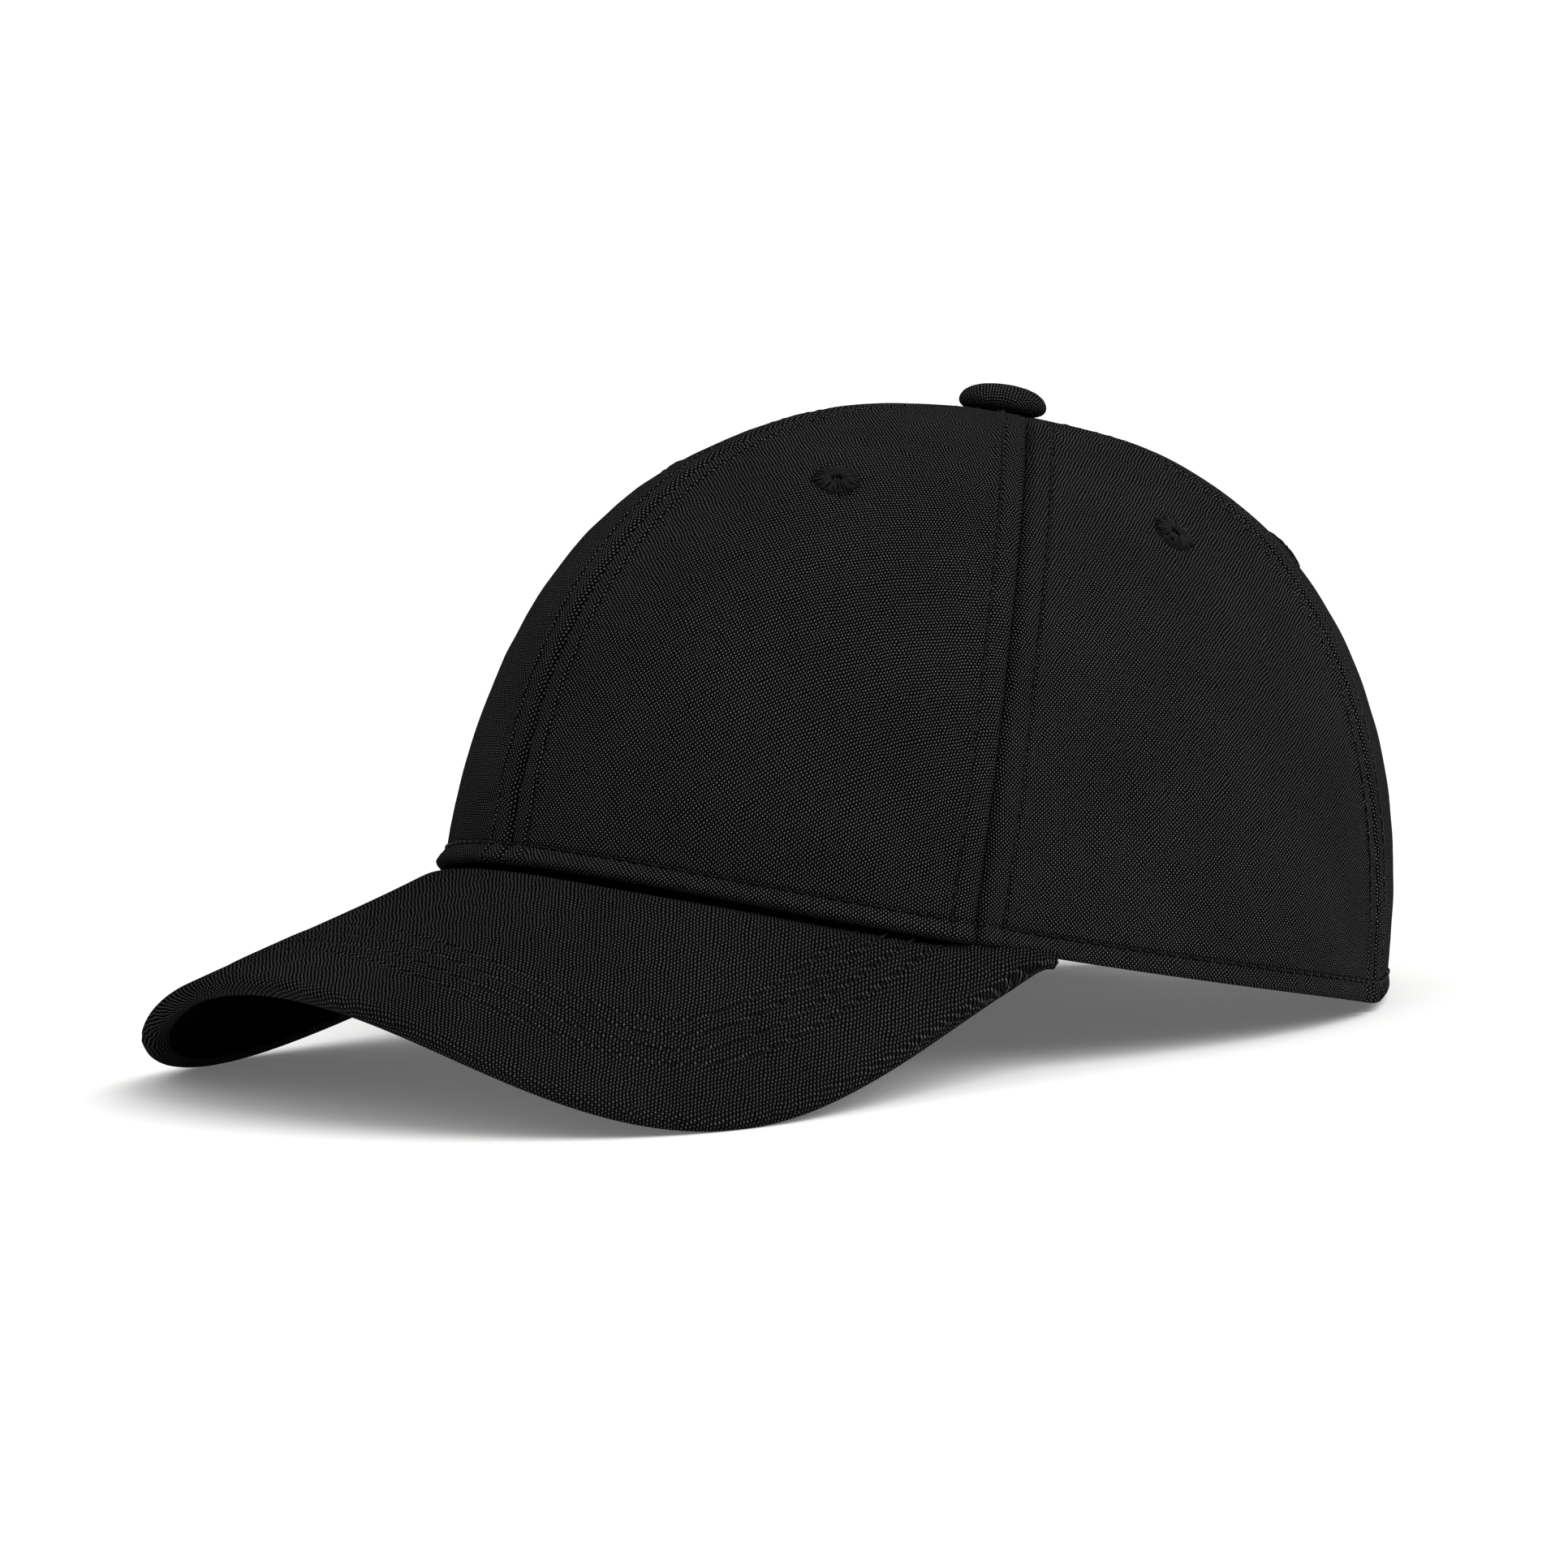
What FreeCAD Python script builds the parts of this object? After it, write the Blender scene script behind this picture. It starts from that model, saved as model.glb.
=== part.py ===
"""Six-panel baseball cap with a curved visor and a flip-clasp strap closure.

The cap is drawn in its own upright frame: the hem ring lies near z = 0, the front faces -Y,
the wearer's left is +X and +Z is up. Every piece is then tipped into the pose in which a cap
rests on a table, on the two wings of its visor and on the hem behind. Millimetres.
"""
import FreeCAD, Part

import os
from math import asin, cos, degrees, pi, radians, sin, sqrt, tan

V = FreeCAD.Vector

# ---- Driving dimensions -------------------------------------------------------------------
# Hem ring: an egg-shaped oval, 600 mm round outside, for a 58 cm head.
HEM_HALF_WIDTH = 84.1
HEM_HALF_LENGTH = 106.0
HEM_TAPER = -0.08               # narrows the ring towards the front
HEM_WAVE_TWO = 1.7              # rise of the hem at front and back, drop at the sides
HEM_WAVE_THREE = 0.5
REAR_LIFT = 3.6                 # the hem rises by this much towards the rear opening
REAR_LIFT_FROM = 131.0
REAR_LIFT_TO = 149.0
HEM_TUCK = 2.5                  # how far the front hem reaches down behind the visor
TUCK_FADE = (4.0, 10.0)         # the tuck ends this far past the visor, over this many degrees

# Crown: a superellipse from hem to apex whose roundness changes round the head.
CROWN_HEIGHT = 111.3
APEX_Y = 11.7
ROUND_MEAN = 2.19
ROUND_FRONT = -0.03
ROUND_SIDE = 0.20
CROWN_TOP = radians(89.2)       # the panels end here, at a small hole under the button

# Seams, as angles from the front.
FRONT_SEAM = 0.0
FRONT_SIDE_SEAM = 65.3
REAR_SIDE_SEAM = 130.2
BACK_SEAM = 180.0
SEAM_GAP = 0.05                 # half the gap between two panels

# Fabric layers of the crown: (outer depth, inner depth) below the outside face.
PANEL_LAYER = (0.0, 0.7)
BUCKRAM_LAYER = (0.8, 1.5)
BINDING_LAYER = (0.75, 1.15)
TAPE_LAYER = (1.6, 2.1)
INTERLINING_LAYER = (2.3, 2.8)
SWEATBAND_LAYER = (2.9, 3.6)

TAPE_WIDTH = 14.0
TAPE_FOOT = 4.0                 # height of a tape's lower end above the hem
TAPE_APEX_CLEAR = 17.5          # the tapes stop this far from the apex
SWEATBAND_FOOT = 0.8
SWEATBAND_HEIGHT = 32.0
SWEATBAND_END = 146.5           # angle of its two ends, beside the rear opening
INTERLINING_INSET = 1.0         # how far the interlining stops short of the sweatband's edges
BUCKRAM_FOOT = 1.5
BUCKRAM_TOP = radians(80)       # the stiffener ends here, short of the apex
BUCKRAM_SEAM_CLEAR = 0.6        # degrees left free at each seam

# Half-moon opening at the back, and the tape that binds it.
ARCH_HALF_WIDTH = 38.0
ARCH_HEIGHT = 52.0
ARCH_BINDING = 8.0
ARCH_BINDING_FOOT = 0.8
ARCH_BINDING_SPAN = 36.0        # degrees each side of the back seam that the binding is cut from
ARCH_BINDING_TOP = radians(38)
ARCH_CUT_FROM = 40.0            # the cutter runs along Y from here, through the back only
ARCH_CUT_LENGTH = 100.0
ARCH_CUT_BELOW = 10.0

# Eyelets: polar angles of their centres, and their ring.
EYELET_FRONT = (31.0, 50.2)
EYELET_SIDE = (97.7, 53.1)
EYELET_REAR = (155.1, 53.1)
EYELET_RADIUS = 5.0
EYELET_BORE = 1.2
EYELET_HOLE = 1.7               # hole in the panel
EYELET_CLEAR = 0.08             # between its threads and the cloth

# Covered button on top.
BUTTON_RADIUS = 9.2
BUTTON_HEIGHT = 6.0
BUTTON_FORWARD = 6.0            # set forward of the apex
BUTTON_SEAT = 0.2
BUTTON_SHOULDER = (2.5, 1.1)    # in from the side and down from the top
BUTTON_COVER = (0.0, 0.6)       # offsets of the cover's two faces from its outside
BUTTON_SHELL = (0.75, 1.2)
BUTTON_HOLE_RADIUS = 3.6        # hole in the panels under the button
BUTTON_HOLE_FORWARD = 4.2
POST_RADIUS = 0.8
TACK_RADIUS = 5.6
TACK_LAYER = (0.9, 1.3)
POST_LENGTH = 2.0               # below the tapes
WASHER_RADIUS = 6.0
WASHER_LAYER = (0.7, 1.3)       # below the tapes

# Visor: a board bent to a shallow cone, sloping down to the front.
VISOR_SLOPE = tan(radians(28.4))
VISOR_RISE = 2.3
VISOR_SAG = 42.1                # drop of the visor 80 mm off its centre line
VISOR_SAG_FLATTEN = -5.3
VISOR_SAG_SPAN = 80.0
VISOR_CONE = 0.162              # loss of sag per 60 mm forward
VISOR_CONE_SPAN = 60.0
VISOR_LENGTH = 56.0             # in plan, ahead of the crown
VISOR_WING = (90.0, -93.5)      # widest point in plan
VISOR_END = 74.5                # angle where its wing meets the hem
VISOR_END_STEP = 3.4            # width of the blunt end of the wing
VISOR_WING_SHARE = 0.6          # share of the way from the front at which it is widest
VISOR_HANDLES = (34.1, 52.1, 21.5, 6.1)
VISOR_FIT_BAND = 30.0           # distance from the hem in which its height is eased to it
TOP_COVER_LAYER = (0.0, 0.65)
BOARD_LAYER = (0.72, 2.72)
UNDER_COVER_LAYER = (2.79, 3.4)
BOARD_INSET = 1.2
UNDER_COVER_INSET = 0.4
CROWN_TO_VISOR = 0.15

# Strap closure at the back. u runs along the strap towards the wearer's left, from the middle
# of the buckle; w is the height above the crown's outside face.
STRAP_WIDTH = 20.0
STRAP_THICKNESS = 0.9
STRAP_MIDDLE = 14.9             # height of its centre line above the hem
BUCKLE_ANGLE = 170.0
BACK_RADIUS = 91.5              # millimetres of hem per radian at the back
STRAP_LEFT_END = 33.0
STRAP_RIGHT_END = -67.0
FRAME_HALF_WIDTH = 12.5
FRAME_FRONT = -11.0
FRAME_REAR = 11.6
FRAME_LAYER = (2.4, 3.4)
BAR_SLOT = (7.5, 9.6)
LIGHTENING_SLOT = (-8.0, -0.5)
LIGHTENING_HALF_WIDTH = 8.0
SLOT_HALF_WIDTH = 10.4
CHEEK = (1.0, 7.0)
CHEEK_INNER = 10.6
CHEEK_OUTER = 12.0
PIN_U = 4.0
PIN_W = 0.7
PIN_RADIUS = 0.8
PIN_BORE = 0.85
PIN_HEAD_RADIUS = 1.2
BARREL_RADIUS = 1.7
LEVER_HALF_WIDTH = 9.6
LEVER_THICKNESS = 1.0
LEVER_TIP = -10.5
LEVER_LIP = 1.4

# Resting pose: the cap tips back on its visor, and its box is centred over the origin.
REST_PITCH = 13.5
REST_SHIFT_Y = 25.99
REST_LIFT = 18.1


# ---- Crown surface ------------------------------------------------------------------------
def hem_plan(phi):
    """Returns x and y of the hem ring at an angle from the front."""
    half_width = HEM_HALF_WIDTH * (1 + HEM_TAPER * cos(phi))
    return half_width * sin(phi), -HEM_HALF_LENGTH * cos(phi)


def hem_height(phi):
    """Returns z of the visible hem edge."""
    lift = REAR_LIFT * eased((from_front(phi) - REAR_LIFT_FROM) / (REAR_LIFT_TO - REAR_LIFT_FROM))
    return HEM_WAVE_TWO * cos(2 * phi) + HEM_WAVE_THREE * cos(3 * phi) + lift


def from_front(phi):
    """Returns how many degrees an angle lies from the front, 0 to 180."""
    return degrees(abs((phi + pi) % (2 * pi) - pi))


def eased(share):
    """Returns a share held between 0 and 1 and eased at both ends."""
    share = min(max(share, 0.0), 1.0)
    return share * share * (3 - 2 * share)


def tuck(phi):
    """Returns how far the hem reaches down behind the visor: all of it ahead, none behind."""
    return HEM_TUCK * eased((VISOR_END + TUCK_FADE[0] - from_front(phi)) / TUCK_FADE[1])


def roundness(phi):
    """Returns the superellipse exponent of the crown's outline at an angle."""
    return ROUND_MEAN + ROUND_FRONT * cos(phi) + ROUND_SIDE * cos(2 * phi)


def on_crown(phi, psi):
    """Returns a point of the crown's outside face; psi is 0 at the hem, pi/2 at the apex."""
    power = 2 / roundness(phi)
    reach, rise = cos(psi) ** power, sin(psi) ** power
    x, y = hem_plan(phi)
    z = (hem_height(phi) - tuck(phi)) * (1 - rise) + CROWN_HEIGHT * rise
    return V(x * reach, APEX_Y + (y - APEX_Y) * reach, z)


def crown_normal(phi, psi):
    """Returns the outward unit normal of the crown."""
    step = radians(0.4)
    low = max(psi - step, 0.0)
    up = on_crown(phi, low + 2 * step) - on_crown(phi, low)
    round_head = on_crown(phi + step, psi) - on_crown(phi - step, psi)
    return round_head.cross(up).normalize()


def in_crown(phi, psi, depth):
    """Returns a point below the crown's outside face."""
    return on_crown(phi, psi) - crown_normal(phi, psi) * depth


def psi_at(phi, height):
    """Returns psi of the crown at a height above the hem."""
    rise = max(height, 0.0) / (CROWN_HEIGHT - hem_height(phi))
    return asin(rise ** (roundness(phi) / 2))


def spread(low, high, count):
    """Returns count values from low to high, evenly spaced."""
    return [low + (high - low) * i / (count - 1) for i in range(count)]


# ---- Solids from point grids --------------------------------------------------------------
def grid_solid(outer, inner):
    """Closes two matching grids of points into one solid with ruled walls."""
    faces, borders = [], []
    for grid in (outer, inner):
        surface = Part.BSplineSurface()
        surface.interpolate(grid)
        u_low, u_high, v_low, v_high = surface.bounds()
        faces.append(surface.toShape())
        borders.append([surface.uIso(u_low), surface.uIso(u_high),
                        surface.vIso(v_low), surface.vIso(v_high)])
    for one, other in zip(*borders):
        faces.append(Part.makeRuledSurface(one.toShape(), other.toShape()))
    shell = Part.makeShell(faces)
    shell.sewShape()
    solid = Part.Solid(shell)
    if solid.Volume < 0:
        solid.reverse()
    return solid


def crown_layer(phi_low, phi_high, layer, foot=0.0, top=CROWN_TOP, columns=11, rows=17):
    """Returns a sheet that follows the crown between two angles, at the depths of a layer."""
    grids = []
    for depth in layer:
        grid = []
        for phi in spread(radians(phi_low), radians(phi_high), columns):
            psi_low = psi_at(phi, foot)
            grid.append([in_crown(phi, psi, depth) for psi in spread(psi_low, top, rows)])
        grids.append(grid)
    return grid_solid(*grids)


def extruded_arch(half_width, height):
    """Returns a half-moon bar along Y through the back of the crown, open below the hem."""
    steps = spread(0.0, pi, 25)
    curve = Part.BSplineCurve()
    curve.interpolate([V(half_width * cos(t), ARCH_CUT_FROM, height * sin(t)) for t in steps])
    corners = [V(-half_width, ARCH_CUT_FROM, 0), V(-half_width, ARCH_CUT_FROM, -ARCH_CUT_BELOW),
               V(half_width, ARCH_CUT_FROM, -ARCH_CUT_BELOW), V(half_width, ARCH_CUT_FROM, 0)]
    lines = [Part.makeLine(a, b) for a, b in zip(corners, corners[1:])]
    wire = Part.Wire(Part.__sortEdges__([curve.toShape()] + lines))
    return Part.Face(wire).extrude(V(0, ARCH_CUT_LENGTH, 0))


def turned(profile, base, direction):
    """Revolves a closed (radius, height) outline of points and arcs about an axis."""
    edges = []
    for start, middle, end in profile:
        a, b = V(start[0], 0, start[1]), V(end[0], 0, end[1])
        if middle is None:
            edges.append(Part.makeLine(a, b))
        else:
            edges.append(Part.Arc(a, V(middle[0], 0, middle[1]), b).toShape())
    solid = Part.Face(Part.Wire(edges)).revolve(V(0, 0, 0), V(0, 0, 1), 360)
    solid.Placement = FreeCAD.Placement(base, FreeCAD.Rotation(V(0, 0, 1), direction))
    return solid


def outline(points):
    """Returns the straight-sided profile through a ring of points, for turned()."""
    return [(points[i], None, points[(i + 1) % len(points)]) for i in range(len(points))]


# ---- Crown pieces -------------------------------------------------------------------------
def eyelet_hole(place, radius):
    """Returns a drill at an eyelet, square to the crown."""
    phi, psi = radians(place[0]), radians(place[1])
    normal = crown_normal(phi, psi)
    return Part.makeCylinder(radius, 12, on_crown(phi, psi) - normal * 6, normal)


def eyelet(place, depth):
    """Returns an embroidered eyelet: a thread ring on each face, joined through the hole."""
    phi, psi = radians(place[0]), radians(place[1])
    barrel = EYELET_BORE + 0.3
    back = -depth - EYELET_CLEAR - 0.2
    ring = [(EYELET_BORE, 0.45), (EYELET_RADIUS - 0.4, 0.35), (EYELET_RADIUS, EYELET_CLEAR),
            (barrel, EYELET_CLEAR), (barrel, back), (EYELET_RADIUS - 0.8, back),
            (EYELET_RADIUS - 1.0, back - 0.32), (EYELET_BORE, back - 0.32)]
    return turned(outline(ring), on_crown(phi, psi), crown_normal(phi, psi))


def mirrored(place):
    """Returns an eyelet's place on the wearer's right."""
    return -place[0], place[1]


def crown_panels():
    """Returns the six fabric panels, with the eyelet holes and the rear opening cut."""
    button_hole = Part.makeCylinder(BUTTON_HOLE_RADIUS, 20,
                                    V(0, APEX_Y - BUTTON_HOLE_FORWARD, CROWN_HEIGHT - 10))
    arch = extruded_arch(ARCH_HALF_WIDTH, ARCH_HEIGHT)
    spans = {"front_panel": (FRONT_SEAM, FRONT_SIDE_SEAM, EYELET_FRONT),
             "side_panel": (FRONT_SIDE_SEAM, REAR_SIDE_SEAM, EYELET_SIDE),
             "rear_panel": (REAR_SIDE_SEAM, BACK_SEAM, EYELET_REAR)}
    pieces = {}
    for name, (low, high, place) in spans.items():
        for side, sign in (("left", 1), ("right", -1)):
            edges = sorted((sign * (low + SEAM_GAP), sign * (high - SEAM_GAP)))
            panel = crown_layer(edges[0], edges[1], PANEL_LAYER, columns=15, rows=19)
            hole = eyelet_hole((sign * place[0], place[1]), EYELET_HOLE)
            panel = panel.cut(hole.fuse(button_hole))
            if name == "rear_panel":
                panel = panel.cut(arch)
            pieces[name + "_" + side] = panel
    return pieces


def front_buckram():
    """Returns the two stiffeners behind the front panels."""
    pieces = {}
    for side, sign in (("left", 1), ("right", -1)):
        edges = sorted((sign * BUCKRAM_SEAM_CLEAR, sign * (FRONT_SIDE_SEAM - BUCKRAM_SEAM_CLEAR)))
        sheet = crown_layer(edges[0], edges[1], BUCKRAM_LAYER, foot=BUCKRAM_FOOT, top=BUCKRAM_TOP)
        place = (sign * EYELET_FRONT[0], EYELET_FRONT[1])
        pieces["front_buckram_" + side] = sheet.cut(eyelet_hole(place, EYELET_HOLE))
    return pieces


def seam_tape(seam, foot):
    """Returns a tape of even width along the inside of one seam."""
    phi_seam = radians(seam)
    psi_foot = psi_at(phi_seam, foot)
    apex = V(0, APEX_Y, 0)
    psi_top = psi_foot
    while True:
        point = on_crown(phi_seam, psi_top + radians(0.5))
        if V(point.x - apex.x, point.y - apex.y, 0).Length < TAPE_APEX_CLEAR:
            break
        psi_top += radians(0.5)
    grids = []
    for depth in TAPE_LAYER:
        grid = []
        for offset in spread(-TAPE_WIDTH / 2, TAPE_WIDTH / 2, 5):
            row = []
            for psi in spread(psi_foot, psi_top, 17):
                step = radians(0.2)
                chord = on_crown(phi_seam + step, psi) - on_crown(phi_seam - step, psi)
                row.append(in_crown(phi_seam + offset * 2 * step / chord.Length, psi, depth))
            grid.append(row)
        grids.append(grid)
    return grid_solid(*grids)


def inner_trim():
    """Returns the seam tapes, the sweatband with its interlining, and the arch binding."""
    pieces = {"front_seam_tape": seam_tape(FRONT_SEAM, TAPE_FOOT)}
    for side, sign in (("left", 1), ("right", -1)):
        pieces["front_side_tape_" + side] = seam_tape(sign * FRONT_SIDE_SEAM, TAPE_FOOT)
        pieces["rear_side_tape_" + side] = seam_tape(sign * REAR_SIDE_SEAM, TAPE_FOOT)
    pieces["back_seam_tape"] = seam_tape(BACK_SEAM, ARCH_HEIGHT + ARCH_BINDING + 1)
    for name, layer, inset in (("sweatband", SWEATBAND_LAYER, 0.0),
                               ("sweatband_interlining", INTERLINING_LAYER, INTERLINING_INSET)):
        end = SWEATBAND_END - inset
        top = psi_at(0.0, SWEATBAND_HEIGHT - inset)
        pieces[name] = crown_layer(-end, end, layer, foot=SWEATBAND_FOOT + inset, top=top,
                                   columns=49, rows=7)
    sheet = crown_layer(BACK_SEAM - ARCH_BINDING_SPAN, BACK_SEAM + ARCH_BINDING_SPAN, BINDING_LAYER,
                        foot=ARCH_BINDING_FOOT, top=ARCH_BINDING_TOP)
    band = extruded_arch(ARCH_HALF_WIDTH + ARCH_BINDING, ARCH_HEIGHT + ARCH_BINDING)
    band = band.cut(extruded_arch(ARCH_HALF_WIDTH, ARCH_HEIGHT))
    pieces["arch_binding"] = sheet.common(band)
    return pieces


def eyelets():
    """Returns the six embroidered eyelets."""
    pieces = {}
    for name, place, depth in (("front", EYELET_FRONT, BUCKRAM_LAYER[1]),
                               ("side", EYELET_SIDE, PANEL_LAYER[1]),
                               ("rear", EYELET_REAR, PANEL_LAYER[1])):
        pieces["eyelet_" + name + "_left"] = eyelet(place, depth)
        pieces["eyelet_" + name + "_right"] = eyelet(mirrored(place), depth)
    return pieces


def button():
    """Returns the covered button: fabric cover, metal shell, tack and washer."""
    base = V(0, APEX_Y - BUTTON_FORWARD, CROWN_HEIGHT + BUTTON_SEAT)
    up = V(0, 0, 1)

    def skin(shrink, low):
        """Returns apex, crown bulge, shoulder, bend, side, curl and lip of one skin of the dome."""
        top, side = BUTTON_HEIGHT - shrink, BUTTON_RADIUS - shrink
        step_in, step_down = BUTTON_SHOULDER
        shoulder = (side - step_in, top - step_down)
        radius = (shoulder[0] ** 2 + step_down ** 2) / (2 * step_down)
        bulge = (shoulder[0] / 2, top - radius + sqrt(radius ** 2 - shoulder[0] ** 2 / 4))
        flank = [(side - 0.6, top - 2.3), (side, 2.2), (side - 0.35, 1.0), (side - 1.4, low)]
        return [(0, top), bulge, shoulder] + flank

    pieces = {}
    for name, shrinks, low in (("button_cover", BUTTON_COVER, 0.0),
                               ("button_shell", BUTTON_SHELL, BUTTON_SHELL[0])):
        outer, inner = skin(shrinks[0], low), skin(shrinks[1], low)
        profile = [outer[0:3], outer[2:5], outer[4:7], (outer[6], None, inner[6]),
                   inner[6:3:-1], inner[4:1:-1], inner[2::-1], (inner[0], None, outer[0])]
        pieces[name] = turned(profile, base, up)
    post_end = -TAPE_LAYER[1] - POST_LENGTH
    bottom, top = TACK_LAYER
    tack = [(0, top + 0.3), (POST_RADIUS * 2, top), (TACK_RADIUS, top), (TACK_RADIUS, bottom),
            (POST_RADIUS, bottom), (POST_RADIUS, post_end), (0, post_end)]
    pieces["button_tack"] = turned(outline(tack), base, up)
    top, bottom = (-TAPE_LAYER[1] - depth for depth in WASHER_LAYER)
    bore = POST_RADIUS + 0.05
    washer = [(bore, top), (WASHER_RADIUS, top), (WASHER_RADIUS, bottom), (bore, bottom)]
    pieces["button_washer"] = turned(outline(washer), base, up)
    return pieces


# ---- Visor --------------------------------------------------------------------------------
def visor_sag(x, y):
    """Returns the drop of the bent visor off its centre line."""
    u = (x / VISOR_SAG_SPAN) ** 2
    cone = 1 + VISOR_CONE * (y + HEM_HALF_LENGTH) / VISOR_CONE_SPAN
    return (VISOR_SAG * u + VISOR_SAG_FLATTEN * u * u) * cone


def visor_height(x, y):
    """Returns z of the visor's top face, before it is eased to the hem."""
    return VISOR_RISE + VISOR_SLOPE * (y + HEM_HALF_LENGTH) - visor_sag(x, y)


def bezier(points, t):
    """Returns the point at t of a cubic curve in plan."""
    weights = ((1 - t) ** 3, 3 * t * (1 - t) ** 2, 3 * t * t * (1 - t), t ** 3)
    return [sum(w * p[axis] for w, p in zip(weights, points)) for axis in (0, 1)]


def visor_outline(share):
    """Returns the outer edge in plan: share is 0 at the front and 1 where it meets the hem."""
    front = (0.0, -HEM_HALF_LENGTH - VISOR_LENGTH)
    wing = VISOR_WING
    x, y = hem_plan(radians(VISOR_END))
    end = (x + VISOR_END_STEP, y - 1.0)
    front_pull, wing_pull, wing_push, end_pull = VISOR_HANDLES
    ahead = [front, (front[0] + front_pull, front[1]), (wing[0], wing[1] - wing_pull), wing]
    behind = [wing, (wing[0], wing[1] + wing_push), (end[0] - 0.15 * end_pull, end[1] - end_pull), end]
    side = -1.0 if share < 0 else 1.0
    share = abs(share)
    if share <= VISOR_WING_SHARE:
        plan = bezier(ahead, share / VISOR_WING_SHARE)
    else:
        plan = bezier(behind, (share - VISOR_WING_SHARE) / (1 - VISOR_WING_SHARE))
    return side * plan[0], plan[1]


def on_visor(share, across, inset):
    """Returns a point of the visor's top face.

    share runs from wing to wing (-1 to 1), across from the hem (0) to the outer edge (1), and
    inset moves the outer edge in.
    """
    phi = radians(VISOR_END) * share
    x_hem, y_hem = hem_plan(phi)
    normal = crown_normal(phi, 0.0)
    x_in = x_hem + normal.x * CROWN_TO_VISOR
    y_in = y_hem + normal.y * CROWN_TO_VISOR
    x_out, y_out = visor_outline(share)
    length = sqrt((x_out - x_in) ** 2 + (y_out - y_in) ** 2)
    reach = across * (1 - inset / length)
    x, y = x_in + (x_out - x_in) * reach, y_in + (y_out - y_in) * reach
    ease = max(1 - reach * length / VISOR_FIT_BAND, 0.0) ** 2
    misfit = hem_height(phi) - visor_height(x_in, y_in)
    return V(x, y, visor_height(x, y) + misfit * ease)


def in_visor(share, across, inset, depth):
    """Returns a point below the top face: straight down at the hem, square to it at the edge."""
    step = 0.01
    low, high = max(share - step, -1.0), min(share + step, 1.0)
    inner, outer = max(across - step, 0.0), min(across + step, 1.0)
    along = on_visor(high, across, inset) - on_visor(low, across, inset)
    out = on_visor(share, outer, inset) - on_visor(share, inner, inset)
    normal = out.cross(along).normalize()
    down = (normal * across + V(0, 0, 1) * (1 - across)).normalize()
    return on_visor(share, across, inset) - down * (depth / down.dot(normal))


def visor_pieces():
    """Returns the top cover, the board and the under cover of the visor."""
    pieces = {}
    for name, layer, inset in (("visor_top_cover", TOP_COVER_LAYER, 0.0),
                               ("visor_board", BOARD_LAYER, BOARD_INSET),
                               ("visor_under_cover", UNDER_COVER_LAYER, UNDER_COVER_INSET)):
        grids = []
        for depth in layer:
            grids.append([[in_visor(share, across, inset, depth) for across in spread(0.0, 1.0, 9)]
                          for share in spread(-1.0, 1.0, 61)])
        pieces[name] = grid_solid(*grids)
    return pieces


# ---- Strap closure ------------------------------------------------------------------------
def on_strap(u, v, w):
    """Returns a point of the closure: u along the strap, v up, w out of the crown's face."""
    phi = radians(BUCKLE_ANGLE) - u / BACK_RADIUS
    return in_crown(phi, psi_at(phi, STRAP_MIDDLE + v), -w)


def ribbon(path, half_width):
    """Returns a strap whose centre line follows (u, w) points."""
    curve = Part.BSplineCurve()
    curve.interpolate([V(u, w, 0) for u, w in path])
    grids = ([], [])
    for t in spread(curve.FirstParameter, curve.LastParameter, 6 * len(path)):
        middle, along = curve.value(t), curve.tangent(t)[0]
        for grid, side in zip(grids, (STRAP_THICKNESS / 2, -STRAP_THICKNESS / 2)):
            u, w = middle.x - along.y * side, middle.y + along.x * side
            grid.append([on_strap(u, v, w) for v in spread(-half_width, half_width, 5)])
    return grid_solid(*grids)


def buckle_frame_at():
    """Returns the buckle's placement: X along the strap, Y down its width, Z outward."""
    origin = on_strap(0.0, 0.0, 0.0)
    along = (on_strap(0.5, 0.0, 0.0) - on_strap(-0.5, 0.0, 0.0)).normalize()
    outward = crown_normal(radians(BUCKLE_ANGLE), psi_at(radians(BUCKLE_ANGLE), STRAP_MIDDLE))
    rotation = FreeCAD.Rotation(along, outward.cross(along), outward, "XYZ")
    return FreeCAD.Placement(origin, rotation)


def local_box(u, v, w, place):
    """Returns a box between pairs of u, v and w in the buckle's frame."""
    box = Part.makeBox(u[1] - u[0], v[1] - v[0], w[1] - w[0], V(u[0], v[0], w[0]))
    box.Placement = place
    return box


def local_rod(radius, half_length, place, v_start=None):
    """Returns a rod along the hinge axis, from -half_length or v_start to half_length."""
    start = -half_length if v_start is None else v_start
    rod = Part.makeCylinder(radius, half_length - start, V(PIN_U, start, PIN_W), V(0, 1, 0))
    rod.Placement = place.multiply(rod.Placement)
    return rod


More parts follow.
